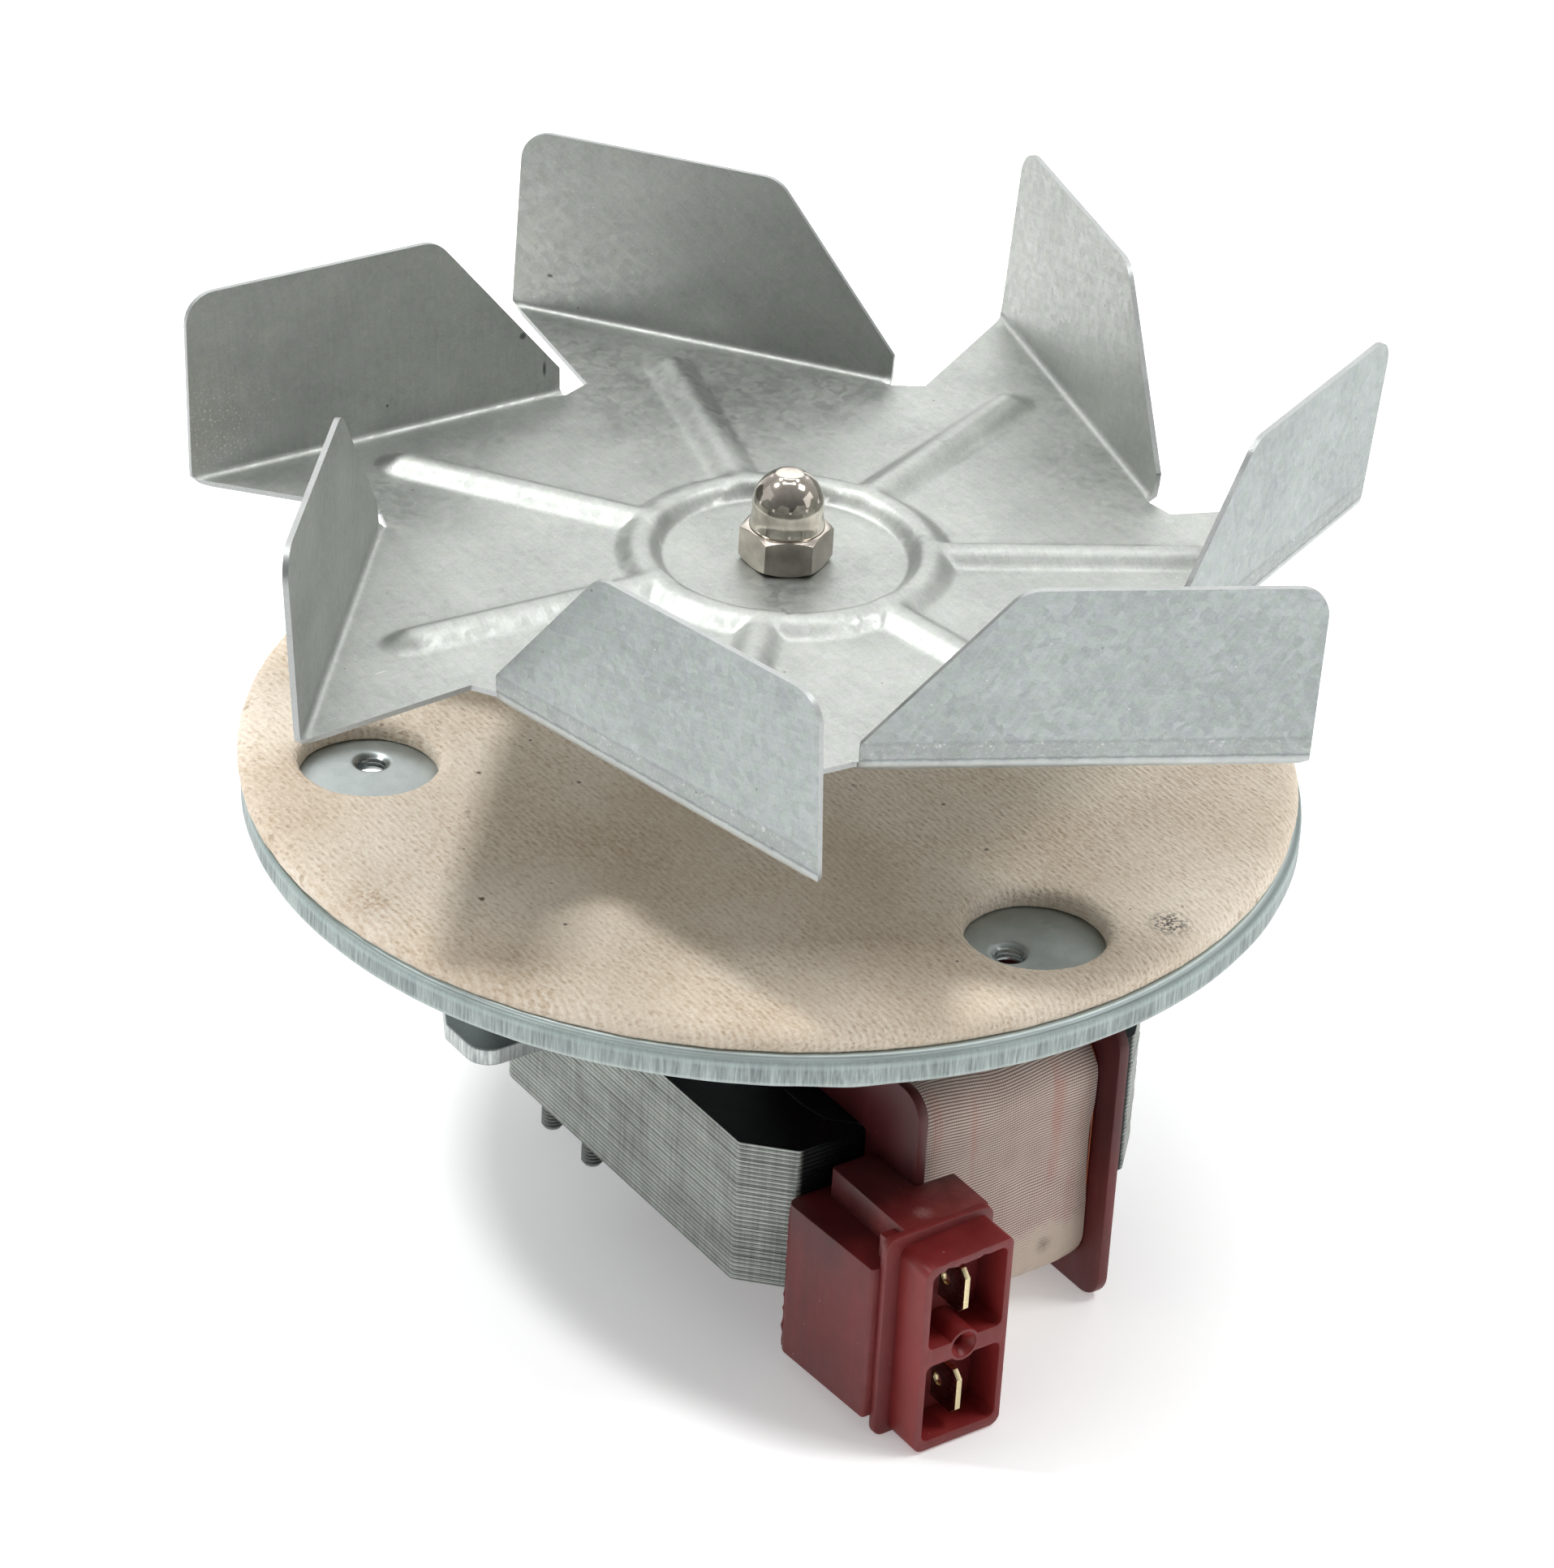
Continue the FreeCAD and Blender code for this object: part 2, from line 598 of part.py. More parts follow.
# C-shaped core: two pole pieces round the bore and two arms that take the straight leg
def build_stator_core():
    body = new_body("stator_core")
    wide = size("stack_half_width")
    window = size("window_half_width")
    sketch = new_sketch(body, "outline", "XY_Plane", "sizes.stack_top - sizes.stack_height")
    draw_outline(sketch, mirrored([(1.5, -13.0), (1.5, -19.5), (window, -19.5, 1.5), (window, -32.8),
                                   (19.4, -32.8), (19.4, -36.9), (18.6, -40.8), (16.9, -42.5),
                                   (15.8, -43.4), (15.5, -44.9, 0.3), (25.1, -44.9, 1.0),
                                   (wide, -39.5, 1.0), (wide, 11.5, 3.0), (20.0, 23.5, 3.0),
                                   (4.0, 23.5), (1.2, 16.8)]))
    add_pad(body, sketch, "sizes.stack_height")
    sketch = new_sketch(body, "bore", "XY_Plane", "sizes.stack_top")
    draw_circle(sketch, vector(0, 0), "stator_bore_radius")
    add_pocket(body, sketch, "sizes.stack_height + 1")
    sketch = new_sketch(body, "holes", "XY_Plane", "sizes.stack_top")
    for place in screw_places():
        draw_circle(sketch, place, "screw_hole_radius")
    for start in (0, 180):
        for angle in (35, 65):
            draw_circle(sketch, polar(size("shading_circle"), start + angle), "shading_wire_radius")
    add_pocket(body, sketch, "sizes.stack_height + 1")


def build_coil_core():
    body = new_body("coil_core")
    long = size("core_half_length")
    sketch = new_sketch(body, "outline", "XY_Plane", "sizes.stack_top - sizes.stack_height")
    draw_outline(sketch, mirrored([(long, size("core_rear")), (long, -36.9), (18.5, -40.75), (16.8, -42.4),
                                   (15.7, -43.3), (15.4, size("core_front"))]))
    add_pad(body, sketch, "sizes.stack_height")


# Shading rings: a closed copper loop round one corner of each pole
def build_shading_rings():
    wire = size("shading_wire_radius")
    low = size("stack_top") - size("stack_height") - wire
    high = size("stack_top") + wire
    rings = []
    for start in (0, 180):
        corners = [polar(size("shading_circle"), start + 35, low), polar(size("shading_circle"), start + 65, low),
                   polar(size("shading_circle"), start + 65, high), polar(size("shading_circle"), start + 35, high)]
        pieces = []
        for index, corner in enumerate(corners):
            run = corners[(index + 1) % 4] - corner
            pieces.append(Part.makeSphere(wire, corner))
            pieces.append(Part.makeCylinder(wire, run.Length, corner, run))
        rings.append(pieces[0].multiFuse(pieces[1:]))
    set_shape("shading_rings", Part.makeCompound([loop.Solids[0] for loop in rings]))


def build_rotor():
    body = new_body("rotor_core")
    sketch = new_sketch(body, "outline", "XY_Plane", "sizes.stack_top - sizes.stack_height")
    draw_circle(sketch, vector(0, 0), "rotor_radius")
    draw_circle(sketch, vector(0, 0), "shaft_radius")
    add_pad(body, sketch, "sizes.stack_height")
    sketch = new_sketch(body, "slot", "XY_Plane", "sizes.stack_top")
    draw_circle(sketch, vector(size("rotor_bar_circle"), 0), "rotor_bar_radius")
    slot = add_pocket(body, sketch, "sizes.stack_height + 1")
    add_pattern(body, [slot], sketch, "sizes.rotor_bar_count")
    body = new_body("rotor_cage")
    bottom = "sizes.stack_top - sizes.stack_height"
    inner = size("end_ring_radius") - 5.5
    ring_sketch = new_sketch(body, "lower_ring", "XY_Plane", bottom)
    draw_circle(ring_sketch, vector(0, 0), "end_ring_radius")
    ring_sketch.addGeometry(Part.Circle(vector(0, 0), vector(0, 0, 1), inner), False)
    add_pad(body, ring_sketch, "sizes.end_ring_height", True)
    sketch = new_sketch(body, "bar", "XY_Plane", bottom)
    draw_circle(sketch, vector(size("rotor_bar_circle"), 0), "rotor_bar_radius")
    bar = add_pad(body, sketch, "sizes.stack_height")
    add_pattern(body, [bar], sketch, "sizes.rotor_bar_count")
    sketch = new_sketch(body, "upper_ring", "XY_Plane", "sizes.stack_top")
    draw_circle(sketch, vector(0, 0), "end_ring_radius")
    sketch.addGeometry(Part.Circle(vector(0, 0), vector(0, 0, 1), inner), False)
    add_pad(body, sketch, "sizes.end_ring_height")


# A bearing bracket is a strip bent to a low bridge with a drawn cup for the bush.
def build_bearing_bracket(node, foot, deck, cup_end, way):
    body = new_body(node)
    thick = size("strip_sheet") * way
    reach = 29.5 if way < 0 else 31.0
    lean = 0.4 * abs(deck - foot)
    inner = 23.6
    path = [(reach, foot), (inner, foot, 0.4), (inner - lean, deck, 0.4)]
    outer = [(reach, foot + thick), (inner + 0.7, foot + thick, 1.4), (inner - lean + 0.7, deck + thick, 1.4)]
    corners = mirrored(path)
    corners += [(-corner[0],) + tuple(corner[1:]) for corner in outer]
    corners += list(reversed(outer))
    sketch = new_sketch(body, "profile", "XZ_Plane", "-sizes.strip_half_width")
    draw_outline(sketch, corners)
    add_pad(body, sketch, "2 * sizes.strip_half_width")
    cup = size("cup_radius")
    wall = size("strip_sheet")
    add_turned(body, "cup", [(0.0, cup_end), (cup + wall, cup_end, 0.9), (cup + wall, deck + thick / 2),
                             (0.0, deck + thick / 2)])
    add_turned(body, "seat", [(0.0, deck - thick * 0.2), (cup, deck - thick * 0.2), (cup, cup_end - thick),
                              (0.0, cup_end - thick)], "PartDesign::Groove")
    if way > 0:
        hole = size("shaft_way_radius")
        add_turned(body, "shaft_way", [(0.0, cup_end - thick * 1.5), (hole, cup_end - thick * 1.5),
                                       (hole, cup_end + thick), (0.0, cup_end + thick)], "PartDesign::Groove")
    sketch = new_sketch(body, "screw_holes", "XY_Plane", "%f" % max(foot, foot + thick))
    for place in screw_places():
        draw_circle(sketch, place, "screw_hole_radius" if way > 0 else "screw_radius")
    add_pocket(body, sketch, "sizes.strip_sheet * 1.5")


def build_bearings():
    top = size("stack_top")
    build_bearing_bracket("upper_bearing_bracket", top + size("bracket_sheet"), -12.8, -4.6, 1)
    build_bearing_bracket("lower_bearing_bracket", top - size("stack_height"), -47.3,
                          size("lower_cup_bottom"), -1)
    ring("upper_oil_felt", "sizes.bush_bore_radius + 0.5", "sizes.cup_radius", "-6.6", "1.0")
    ring("upper_bearing", "sizes.bush_bore_radius", "sizes.cup_radius", "-12.4", "5.8")
    ring("upper_retainer", "sizes.bush_bore_radius + 0.7", "sizes.cup_radius", "-13.0", "0.6")
    ring("lower_bearing", "sizes.bush_bore_radius", "sizes.cup_radius", "sizes.lower_cup_bottom + 1.6", "4.6")
    ring("lower_retainer", "sizes.bush_bore_radius + 0.7", "sizes.cup_radius",
         "sizes.lower_cup_bottom + 6.2", "0.4")
    felt = cylinder("lower_felt_disc", "sizes.cup_radius", "sizes.lower_cup_bottom + 1.0", "0.6")
    felt.Label = "lower_oil_felt"
    nodes["lower_oil_felt"] = felt
    ring("upper_sleeve", "sizes.shaft_radius", "sizes.washer_radius", "sizes.stack_top", "9.0")
    ring("lower_sleeve", "sizes.shaft_radius", "sizes.washer_radius", "-45.9", "2.6")
    washer = Part.makeCylinder(size("washer_radius") + 0.6, 0.5).cut(Part.makeCylinder(size("shaft_radius"), 0.5))
    washers = []
    for level in (size("stack_top") + 9.0, -46.4):
        copy = washer.copy()
        copy.translate(vector(0, 0, level))
        washers.append(copy)
    set_shape("thrust_washers", Part.makeCompound(washers))


# Coil bobbin and terminal housing, moulded in one piece
def build_coil_bobbin():
    body = new_body("coil_bobbin")
    corners = box_corners(size("flange_front"), size("flange_rear"), size("flange_bottom"),
                          size("flange_top"), 3.5)
    tube = box_corners(size("core_front") - 1.2, size("core_rear") + 1.2,
                       size("stack_top") - size("stack_height") - 1.2, size("stack_top") + 1.2, 1.0)
    sketch = new_sketch(body, "tube", "YZ_Plane", "-sizes.flange_outer")
    draw_outline(sketch, tube)
    add_pad(body, sketch, "2 * sizes.flange_outer")
    for name, level in (("near", "-sizes.flange_outer"), ("far", "sizes.flange_outer - sizes.flange_sheet")):
        sketch = new_sketch(body, name, "YZ_Plane", level)
        draw_outline(sketch, corners)
        add_pad(body, sketch, "sizes.flange_sheet")
    sketch = new_sketch(body, "core_way", "YZ_Plane", "sizes.flange_outer + 1")
    draw_outline(sketch, box_corners(size("core_front") - 0.1, size("core_rear") + 0.1,
                                     size("stack_top") - size("stack_height") - 0.1,
                                     size("stack_top") + 0.1))
    add_pocket(body, sketch, "2 * sizes.flange_outer + 2")
    rear = size("collar_rear")
    outer = -size("flange_outer")
    low = size("block_bottom")
    top = size("slab_top")
    left, right = size("slab_left"), size("slab_right")
    blocks = (("rear_block", [(-27.4, -45.5, 1.5), (outer, -45.5), (outer, rear), (-26.6, rear, 0.5)], low, -29.0),
              ("front_block", [(left, -55.3), (right, -55.3, 0.5), (right, rear), (left, rear)], low, top),
              ("shoulder", [(-24.2, -60.2, 0.3), (left + 1, -60.2), (left + 1, rear), (-24.2, rear)], low, -25.8),
              ("slab", [(left, -47.1, 0.5), (outer, -47.1), (outer, -56.0), (left, -56.0)], -30.0, top))
    for name, outline, foot, head in blocks:
        sketch = new_sketch(body, name, "XY_Plane", "%f" % foot)
        draw_outline(sketch, outline)
        add_pad(body, sketch, "%f" % (head - foot))
    collar = [(-23.5, -53.2, 1.4), (-10.8, -53.2, 1.4), (-10.8, -25.7, 0.8), (-23.5, -26.3, 1.4)]
    steps = (("step", box_corners(-25.5, -9.9, -53.4, -24.7, 1.4), "1.2"),
             ("collar", collar, "sizes.collar_rear - sizes.collar_front"))
    for name, outline, length in steps:
        sketch = new_sketch(body, name, "XZ_Plane", "-sizes.collar_rear")
        draw_outline(sketch, outline)
        add_pad(body, sketch, length)
    sketch = new_sketch(body, "cavities", "XZ_Plane", "-sizes.collar_front")
    draw_outline(sketch, [(-22.4, -38.2, 1.0), (-11.7, -38.2, 1.0), (-11.7, -26.8, 0.8), (-22.4, -27.4, 1.0)])
    draw_outline(sketch, box_corners(-22.4, -11.7, -51.8, -40.7, 1.0))
    add_pocket(body, sketch, "sizes.cavity_depth")
    sketch = new_sketch(body, "boss", "XZ_Plane", "-sizes.collar_rear")
    draw_outline(sketch, box_corners(-19.3, -14.9, -41.4, -37.0, 2.19))
    add_pad(body, sketch, "sizes.collar_rear - sizes.collar_front")
    sketch = new_sketch(body, "boss_hole", "XZ_Plane", "-sizes.collar_front")
    draw_outline(sketch, box_corners(-18.3, -15.9, -40.4, -38.0, 1.19))
    add_pocket(body, sketch, "5.5")
    half = size("tab_width") / 2
    sketch = new_sketch(body, "tab_slots", "XZ_Plane", "-(sizes.collar_front + sizes.cavity_depth)")
    for level in (size("upper_tab_z"), size("lower_tab_z")):
        draw_outline(sketch, box_corners(size("tab_x") - size("tab_sheet") / 2,
                                         size("tab_x") + size("tab_sheet") / 2, level - half, level + half))
    add_pocket(body, sketch, "7.0")


def build_terminal_tab(node, level):
    body = new_body(node)
    half = size("tab_width") / 2
    front = size("tab_front")
    rear = size("collar_front") + size("cavity_depth") + 7.0
    sketch = new_sketch(body, "outline", "YZ_Plane", "sizes.tab_x - sizes.tab_sheet / 2")
    draw_outline(sketch, [(rear, level - half), (rear, level + half), (front + 1.0, level + half),
                          (front, level + half - 1.0), (front, level - half + 1.0), (front + 1.0, level - half)])
    sketch.addGeometry(Part.Circle(vector(-64.8, level), vector(0, 0, 1), 0.8), False)
    add_pad(body, sketch, "sizes.tab_sheet")


# The winding fills the bobbin and the tape is a sleeve round it.
def build_coil():
    middle = size("stack_top") - size("stack_height") / 2
    tall = size("coil_half_height")
    tape = size("tape_sheet")
    outer = box_corners(size("coil_front"), size("coil_rear"), middle - tall, middle + tall, size("coil_corner"))
    inner = box_corners(size("coil_front") + tape, size("coil_rear") - tape, middle - tall + tape,
                        middle + tall - tape, size("coil_corner") - tape)
    tube = box_corners(size("core_front") - 1.2, size("core_rear") + 1.2,
                       size("stack_top") - size("stack_height") - 1.2, size("stack_top") + 1.2, 1.0)
    for node, outside, hollow in (("coil_tape", outer, inner), ("coil_winding", inner, tube)):
        body = new_body(node)
        sketch = new_sketch(body, "outline", "YZ_Plane", "-sizes.coil_half_length")
        draw_outline(sketch, outside)
        draw_outline(sketch, hollow)
        add_pad(body, sketch, "2 * sizes.coil_half_length")


def check_and_write():
    doc.recompute()
    for item in doc.Objects:
        if "Invalid" in item.State or "Error" in item.State:
            raise RuntimeError("not computed: " + item.Label)
    os.makedirs("parts", exist_ok=True)
    for node, item in nodes.items():
        shape = item.Shape
        if shape.isNull() or not shape.isValid() or shape.Volume <= 0:
            raise RuntimeError("bad shape: " + node)
        shape.exportStep("parts/" + node + ".step")
        print("%-24s %9.1f mm3 %d solids" % (node, shape.Volume, len(shape.Solids)))


build_fan_wheel()
build_cap_nut()
build_shaft()
build_mounting_plate()
build_insulation_pad()
build_spacer_posts()
build_motor_bracket()
build_bracket_screws()
build_stator_core()
build_coil_core()
build_shading_rings()
build_rotor()
build_bearings()
build_coil_bobbin()
build_terminal_tab("terminal_tab_upper", size("upper_tab_z"))
build_terminal_tab("terminal_tab_lower", size("lower_tab_z"))
build_coil()
check_and_write()
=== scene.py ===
import math
import random

import bmesh
import bpy
from mathutils import Matrix, Vector, geometry, noise


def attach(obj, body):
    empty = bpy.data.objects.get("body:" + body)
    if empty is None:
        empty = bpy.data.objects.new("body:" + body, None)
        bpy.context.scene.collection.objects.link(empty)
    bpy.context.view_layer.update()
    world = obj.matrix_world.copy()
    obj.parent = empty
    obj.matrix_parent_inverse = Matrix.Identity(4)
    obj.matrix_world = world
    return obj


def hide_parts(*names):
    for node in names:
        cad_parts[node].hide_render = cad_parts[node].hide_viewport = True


# Oven fan motor. Lengths in this script are millimetres in the row frame. Meshes are made in metres.

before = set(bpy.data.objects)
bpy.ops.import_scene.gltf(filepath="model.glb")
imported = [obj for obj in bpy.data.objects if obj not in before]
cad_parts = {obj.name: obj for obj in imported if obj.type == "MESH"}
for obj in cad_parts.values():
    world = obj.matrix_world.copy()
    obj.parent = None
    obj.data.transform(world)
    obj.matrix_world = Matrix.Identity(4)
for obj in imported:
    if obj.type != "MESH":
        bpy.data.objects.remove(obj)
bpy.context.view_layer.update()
random.seed(7)

MM = 0.001
WHEEL = 28.9            # underside of the wheel disc
SHEET = 0.7             # sheet thickness of the wheel
TIP_RADIUS = 75.0       # outer end of each fold
BLADES = 7
FIRST_TIP = 135.6       # degrees
FOLD_ANGLE = math.radians(42.25)
FOLD_LENGTH = 52.7
NOTCH_RUN = 57.1
LEAN = math.radians(4.15)
BEND = 0.9 + SHEET / 2  # radius of the middle of the sheet in the fold
RIB_LAG = math.radians(-11.5)
HUB = WHEEL + SHEET - 0.3  # face that the cap nut bears on
STACK_TOP = -23.1
STACK_LOW = -43.3
FLOOR = -53.5
CAMERA_TILT = 0.5431823  # radians under the level
CAMERA_ROLL = -0.0588867
CAMERA_PLACE = Vector((0.649, -619.980, 342.477))  # from the middle of the wheel disc, before the turn of the row
FOCAL_PIXELS = 7133.155
LONG_SIDE_PIXELS = 1932
SENSOR = 36.0
ROW_TURN = math.radians(-36)


# Colours and finishes
def srgb(code):
    channels = [int(code[index:index + 2], 16) / 255 for index in (1, 3, 5)]
    linear = [c / 12.92 if c <= 0.04045 else ((c + 0.055) / 1.055) ** 2.4 for c in channels]
    return (linear[0], linear[1], linear[2], 1.0)


class Finish:
    """A procedural material: a shader and the nodes that feed it, in object space or along a piece's own UV."""

    def __init__(self, name, space="Object"):
        self.material = bpy.data.materials.new(name)
        self.material.use_nodes = True
        self.tree = self.material.node_tree
        self.shader = self.tree.nodes["Principled BSDF"]
        self.place = self.add("ShaderNodeTexCoord").outputs[space]

    def add(self, kind, inputs=None, **settings):
        node = self.tree.nodes.new(kind)
        for key, value in settings.items():
            setattr(node, key, value)
        for key, value in (inputs or {}).items():
            if isinstance(value, bpy.types.NodeSocket):
                self.tree.links.new(value, node.inputs[key])
            else:
                node.inputs[key].default_value = value
        return node

    def set(self, **values):
        for key, value in values.items():
            socket = self.shader.inputs[key.replace("_", " ")]
            if isinstance(value, bpy.types.NodeSocket):
                self.tree.links.new(value, socket)
            else:
                socket.default_value = value

    def stretched(self, x, y, z, vector=None):
        return self.add("ShaderNodeMapping", {"Vector": vector or self.place, "Scale": (x, y, z)}).outputs[0]

    def noise(self, size, detail=3.0, rough=0.5, vector=None, warp=0.0):
        return self.add("ShaderNodeTexNoise", {"Vector": vector or self.place, "Scale": 1 / (size * MM),
                                               "Detail": detail, "Roughness": rough,
                                               "Distortion": warp}).outputs["Fac"]

    def cells(self, size, feature="F1", output="Distance", vector=None):
        return self.add("ShaderNodeTexVoronoi", {"Vector": vector or self.place, "Scale": 1 / (size * MM)},
                        feature=feature).outputs[output]

    def waves(self, size, axis="X", warp=0.0, vector=None, warp_scale=1.0):
        return self.add("ShaderNodeTexWave", {"Vector": vector or self.place, "Scale": 0.314159 / (size * MM),
                                              "Distortion": warp, "Detail Scale": warp_scale},
                        bands_direction=axis).outputs["Fac"]

    def spread(self, value, low, high, to_low=0.0, to_high=1.0):
        return self.add("ShaderNodeMapRange", {"Value": value, "From Min": low, "From Max": high,
                                               "To Min": to_low, "To Max": to_high}).outputs[0]

    def math(self, operation, one, two=0.0):
        node = self.add("ShaderNodeMath", operation=operation)
        for index, value in enumerate((one, two)):
            if isinstance(value, bpy.types.NodeSocket):
                self.tree.links.new(value, node.inputs[index])
            else:
                node.inputs[index].default_value = value
        return node.outputs[0]

    def stain(self, base, mask, strength, color):
        """The base colour with another over it where the mask is, at a strength up to one."""
        return self.mix(self.math("MULTIPLY", mask, strength), base, srgb(color))

    def mix(self, factor, one, two, blend="MIX"):
        node = self.add("ShaderNodeMix", data_type="RGBA", blend_type=blend)
        for index, value in ((0, factor), (6, one), (7, two)):
            if isinstance(value, bpy.types.NodeSocket):
                self.tree.links.new(value, node.inputs[index])
            else:
                node.inputs[index].default_value = value
        return node.outputs[2]

    def bump(self, height, distance, strength=1.0, under=None):
        inputs = {"Height": height, "Distance": distance * MM, "Strength": strength}
        if under is not None:
            inputs["Normal"] = under
        return self.add("ShaderNodeBump", inputs).outputs[0]

    def axis(self, index):
        return self.add("ShaderNodeSeparateXYZ", {"Vector": self.place}).outputs[index]

    def turned(self, degrees, x, y, z=1.0):
        """The place turned about Z first and then scaled, for marks that run slantwise."""
        spun = self.add("ShaderNodeMapping", {"Vector": self.place, "Rotation": (0, 0, math.radians(degrees))})
        return self.add("ShaderNodeMapping", {"Vector": spun.outputs[0], "Scale": (x, y, z)}).outputs[0]

    def near(self, spot, inner, outer, squash=(1, 1, 1)):
        """One at a spot given in millimetres, fading to nothing between two radii."""
        place = self.add("ShaderNodeTexCoord").outputs["Object"]
        shift = self.add("ShaderNodeVectorMath", {0: place, 1: tuple(c * MM for c in spot)}, operation="SUBTRACT")
        scaled = self.add("ShaderNodeVectorMath", {0: shift.outputs[0], 1: squash}, operation="MULTIPLY")
        length = self.add("ShaderNodeVectorMath", {0: scaled.outputs[0]}, operation="LENGTH").outputs["Value"]
        return self.spread(length, inner * MM, outer * MM, 1, 0)


# Aluminium-coated sheet: pale satin metal, softly cloudy, with crystal patches of faintly green and lilac grey
# at millimetres, a fine tooth from the rolls, bright pin pricks and a few dark specks and handling scratches.
# The outsides of the blades also carry the folding tool's marks: a dark line where the bend ends and a rubbed
# strip above it.
def coated_sheet(name, dark, light, rough=0.42, space="Object", folded=False):
    finish = Finish(name, space)
    cloud = finish.noise(16, 2, 0.6)
    wander = finish.add("ShaderNodeVectorMath", {0: finish.add("ShaderNodeTexNoise", {
        "Vector": finish.place, "Scale": 1 / (2.0 * MM), "Detail": 1.0}).outputs["Color"],
        1: (0.0018, 0.0018, 0.0018)}, operation="MULTIPLY").outputs[0]
    spot = finish.add("ShaderNodeVectorMath", {0: finish.place, 1: wander}, operation="ADD").outputs[0]
    patch = finish.add("ShaderNodeSeparateXYZ", {"Vector": finish.cells(1.05, output="Color", vector=spot)})
    grain = finish.noise(0.35, 2, 0.65)
    rolled = finish.noise(0.5, 2, 0.6, finish.stretched(1, 0.06, 1))
    strength = 0.2 if folded else 0.1
    tone = finish.math("ADD", finish.spread(cloud, 0.3, 0.7, 0.12, 0.62),
                       finish.spread(patch.outputs[0], 0, 1, 0, strength))
    tone = finish.math("ADD", tone, finish.spread(grain, 0.35, 0.65, -0.09, 0.12))
    tone = finish.math("ADD", tone, finish.spread(finish.noise(1.1, 2, 0.7), 0.35, 0.65, -0.08, 0.1))
    tone = finish.math("ADD", tone, finish.spread(rolled, 0.35, 0.65, -0.07, 0.07))
    base = finish.mix(tone, srgb(dark), srgb(light))
    tint = finish.math("ADD", finish.noise(1.6, 3, 0.7), finish.math("MULTIPLY", patch.outputs[1], 0.12))
    hue = finish.mix(finish.spread(tint, 0.42, 0.66), srgb("#f1faf3"), srgb("#f6f3fe"))
    base = finish.mix(0.5 if folded else 0.3, base, hue, "MULTIPLY")
    point = finish.add("ShaderNodeTexVoronoi", {"Vector": finish.place, "Scale": 1 / (1.3 * MM)})
    draw = finish.add("ShaderNodeSeparateXYZ", {"Vector": point.outputs["Color"]})
    speck = finish.math("MULTIPLY", finish.spread(point.outputs["Distance"], 0.10, 0.16, 1, 0),
                        finish.spread(draw.outputs[1], 0.985, 0.99))
    base = finish.stain(base, speck, 0.55, "#4a4a48")
    pins = finish.math("MULTIPLY", finish.spread(point.outputs["Distance"], 0.05, 0.09, 1, 0),
                       finish.spread(draw.outputs[0], 0.8, 0.85))
    scratch_way = finish.add("ShaderNodeMapping", {"Vector": finish.place, "Rotation": (0, 0, 0.6),
                                                   "Scale": (0.09, 1, 1)}).outputs[0]
    scratches = finish.math("MULTIPLY", finish.spread(finish.cells(1.6, vector=scratch_way), 0.03, 0.06, 1, 0),
                            finish.spread(cloud, 0.6, 0.66))
    marks = finish.math("ADD", pins, scratches)
    base = finish.stain(base, marks, 0.5, "#f2f2ee")
    if not folded:
        rubs = finish.math("MULTIPLY", finish.near((-50, 52.2, 36.5), 3.0, 8.5), finish.spread(grain, 0.6, 0.68))
        line = finish.spread(finish.cells(2.6, vector=finish.turned(52, 0.12, 1.6)), 0.04, 0.1, 1, 0)
        for spot, squash in (((-45.6, 48.2, 29.6), (0.75, 0.55, 1)), ((-43.4, 45.4, 29.6), (0.7, 0.5, 1))):
            rubs = finish.math("MAXIMUM", rubs, finish.math("MULTIPLY", finish.near(spot, 0.6, 3.0, squash), line))
        base = finish.stain(base, rubs, 0.6, "#f4f2ea")
        ticks = finish.near((-26.0, 51.1, 33.4), 0.12, 0.24)
        for spot, squash in (((-3.2, 50.2, 33.4), (1, 1, 0.22)), ((-6.3, 50.7, 38.6), (0.5, 1, 0.5)),
                             ((10.4, 70.4, 34.6), (0.6, 0.6, 1)), ((-2.4, 50.0, 35.2), (1, 1, 0.4))):
            ticks = finish.math("MAXIMUM", ticks, finish.near(spot, 0.14, 0.3, squash))
        base = finish.stain(base, ticks, 0.75, "#3a3d3f")
    height = grain
    if folded:
        fold = finish.add("ShaderNodeUVMap", uv_map="fold").outputs[0]
        away = finish.add("ShaderNodeSeparateXYZ", {"Vector": fold}).outputs[1]
        ragged = finish.math("ADD", away, finish.spread(finish.noise(1.1, 3, 0.7), 0.3, 0.7, -0.00012, 0.00012))
        line = finish.math("SUBTRACT", 1.0, finish.spread(finish.math("ABSOLUTE", finish.math(
            "SUBTRACT", ragged, 0.0023)), 0.00008, 0.00026))
        upper = finish.math("SUBTRACT", 1.0, finish.spread(finish.math("ABSOLUTE", finish.math(
            "SUBTRACT", ragged, 0.0046)), 0.0001, 0.0004))
        strip = finish.math("MULTIPLY", finish.spread(ragged, 0.0023, 0.0026),
                            finish.spread(ragged, 0.0043, 0.0048, 1, 0))
        rub = finish.math("MULTIPLY", strip, finish.spread(finish.noise(0.7, 3, 0.75), 0.54, 0.64, 0.0, 0.3))
        brow = finish.math("SUBTRACT", 1.0, finish.spread(finish.math("ABSOLUTE", finish.math(
            "SUBTRACT", ragged, 0.0042)), 0.0002, 0.0007))
        flecks = finish.math("MULTIPLY", brow, finish.spread(finish.noise(1.5, 3, 0.8), 0.6, 0.65))
        rub = finish.math("MAXIMUM", rub, finish.math("MULTIPLY", flecks, 0.9))
        base = finish.stain(base, line, 0.5, "#6f7474")
        base = finish.stain(base, upper, 0.25, "#757a7a")
        base = finish.stain(base, strip, 0.2, "#8b8d8a")
        base = finish.stain(base, rub, 0.5, "#dcdedb")
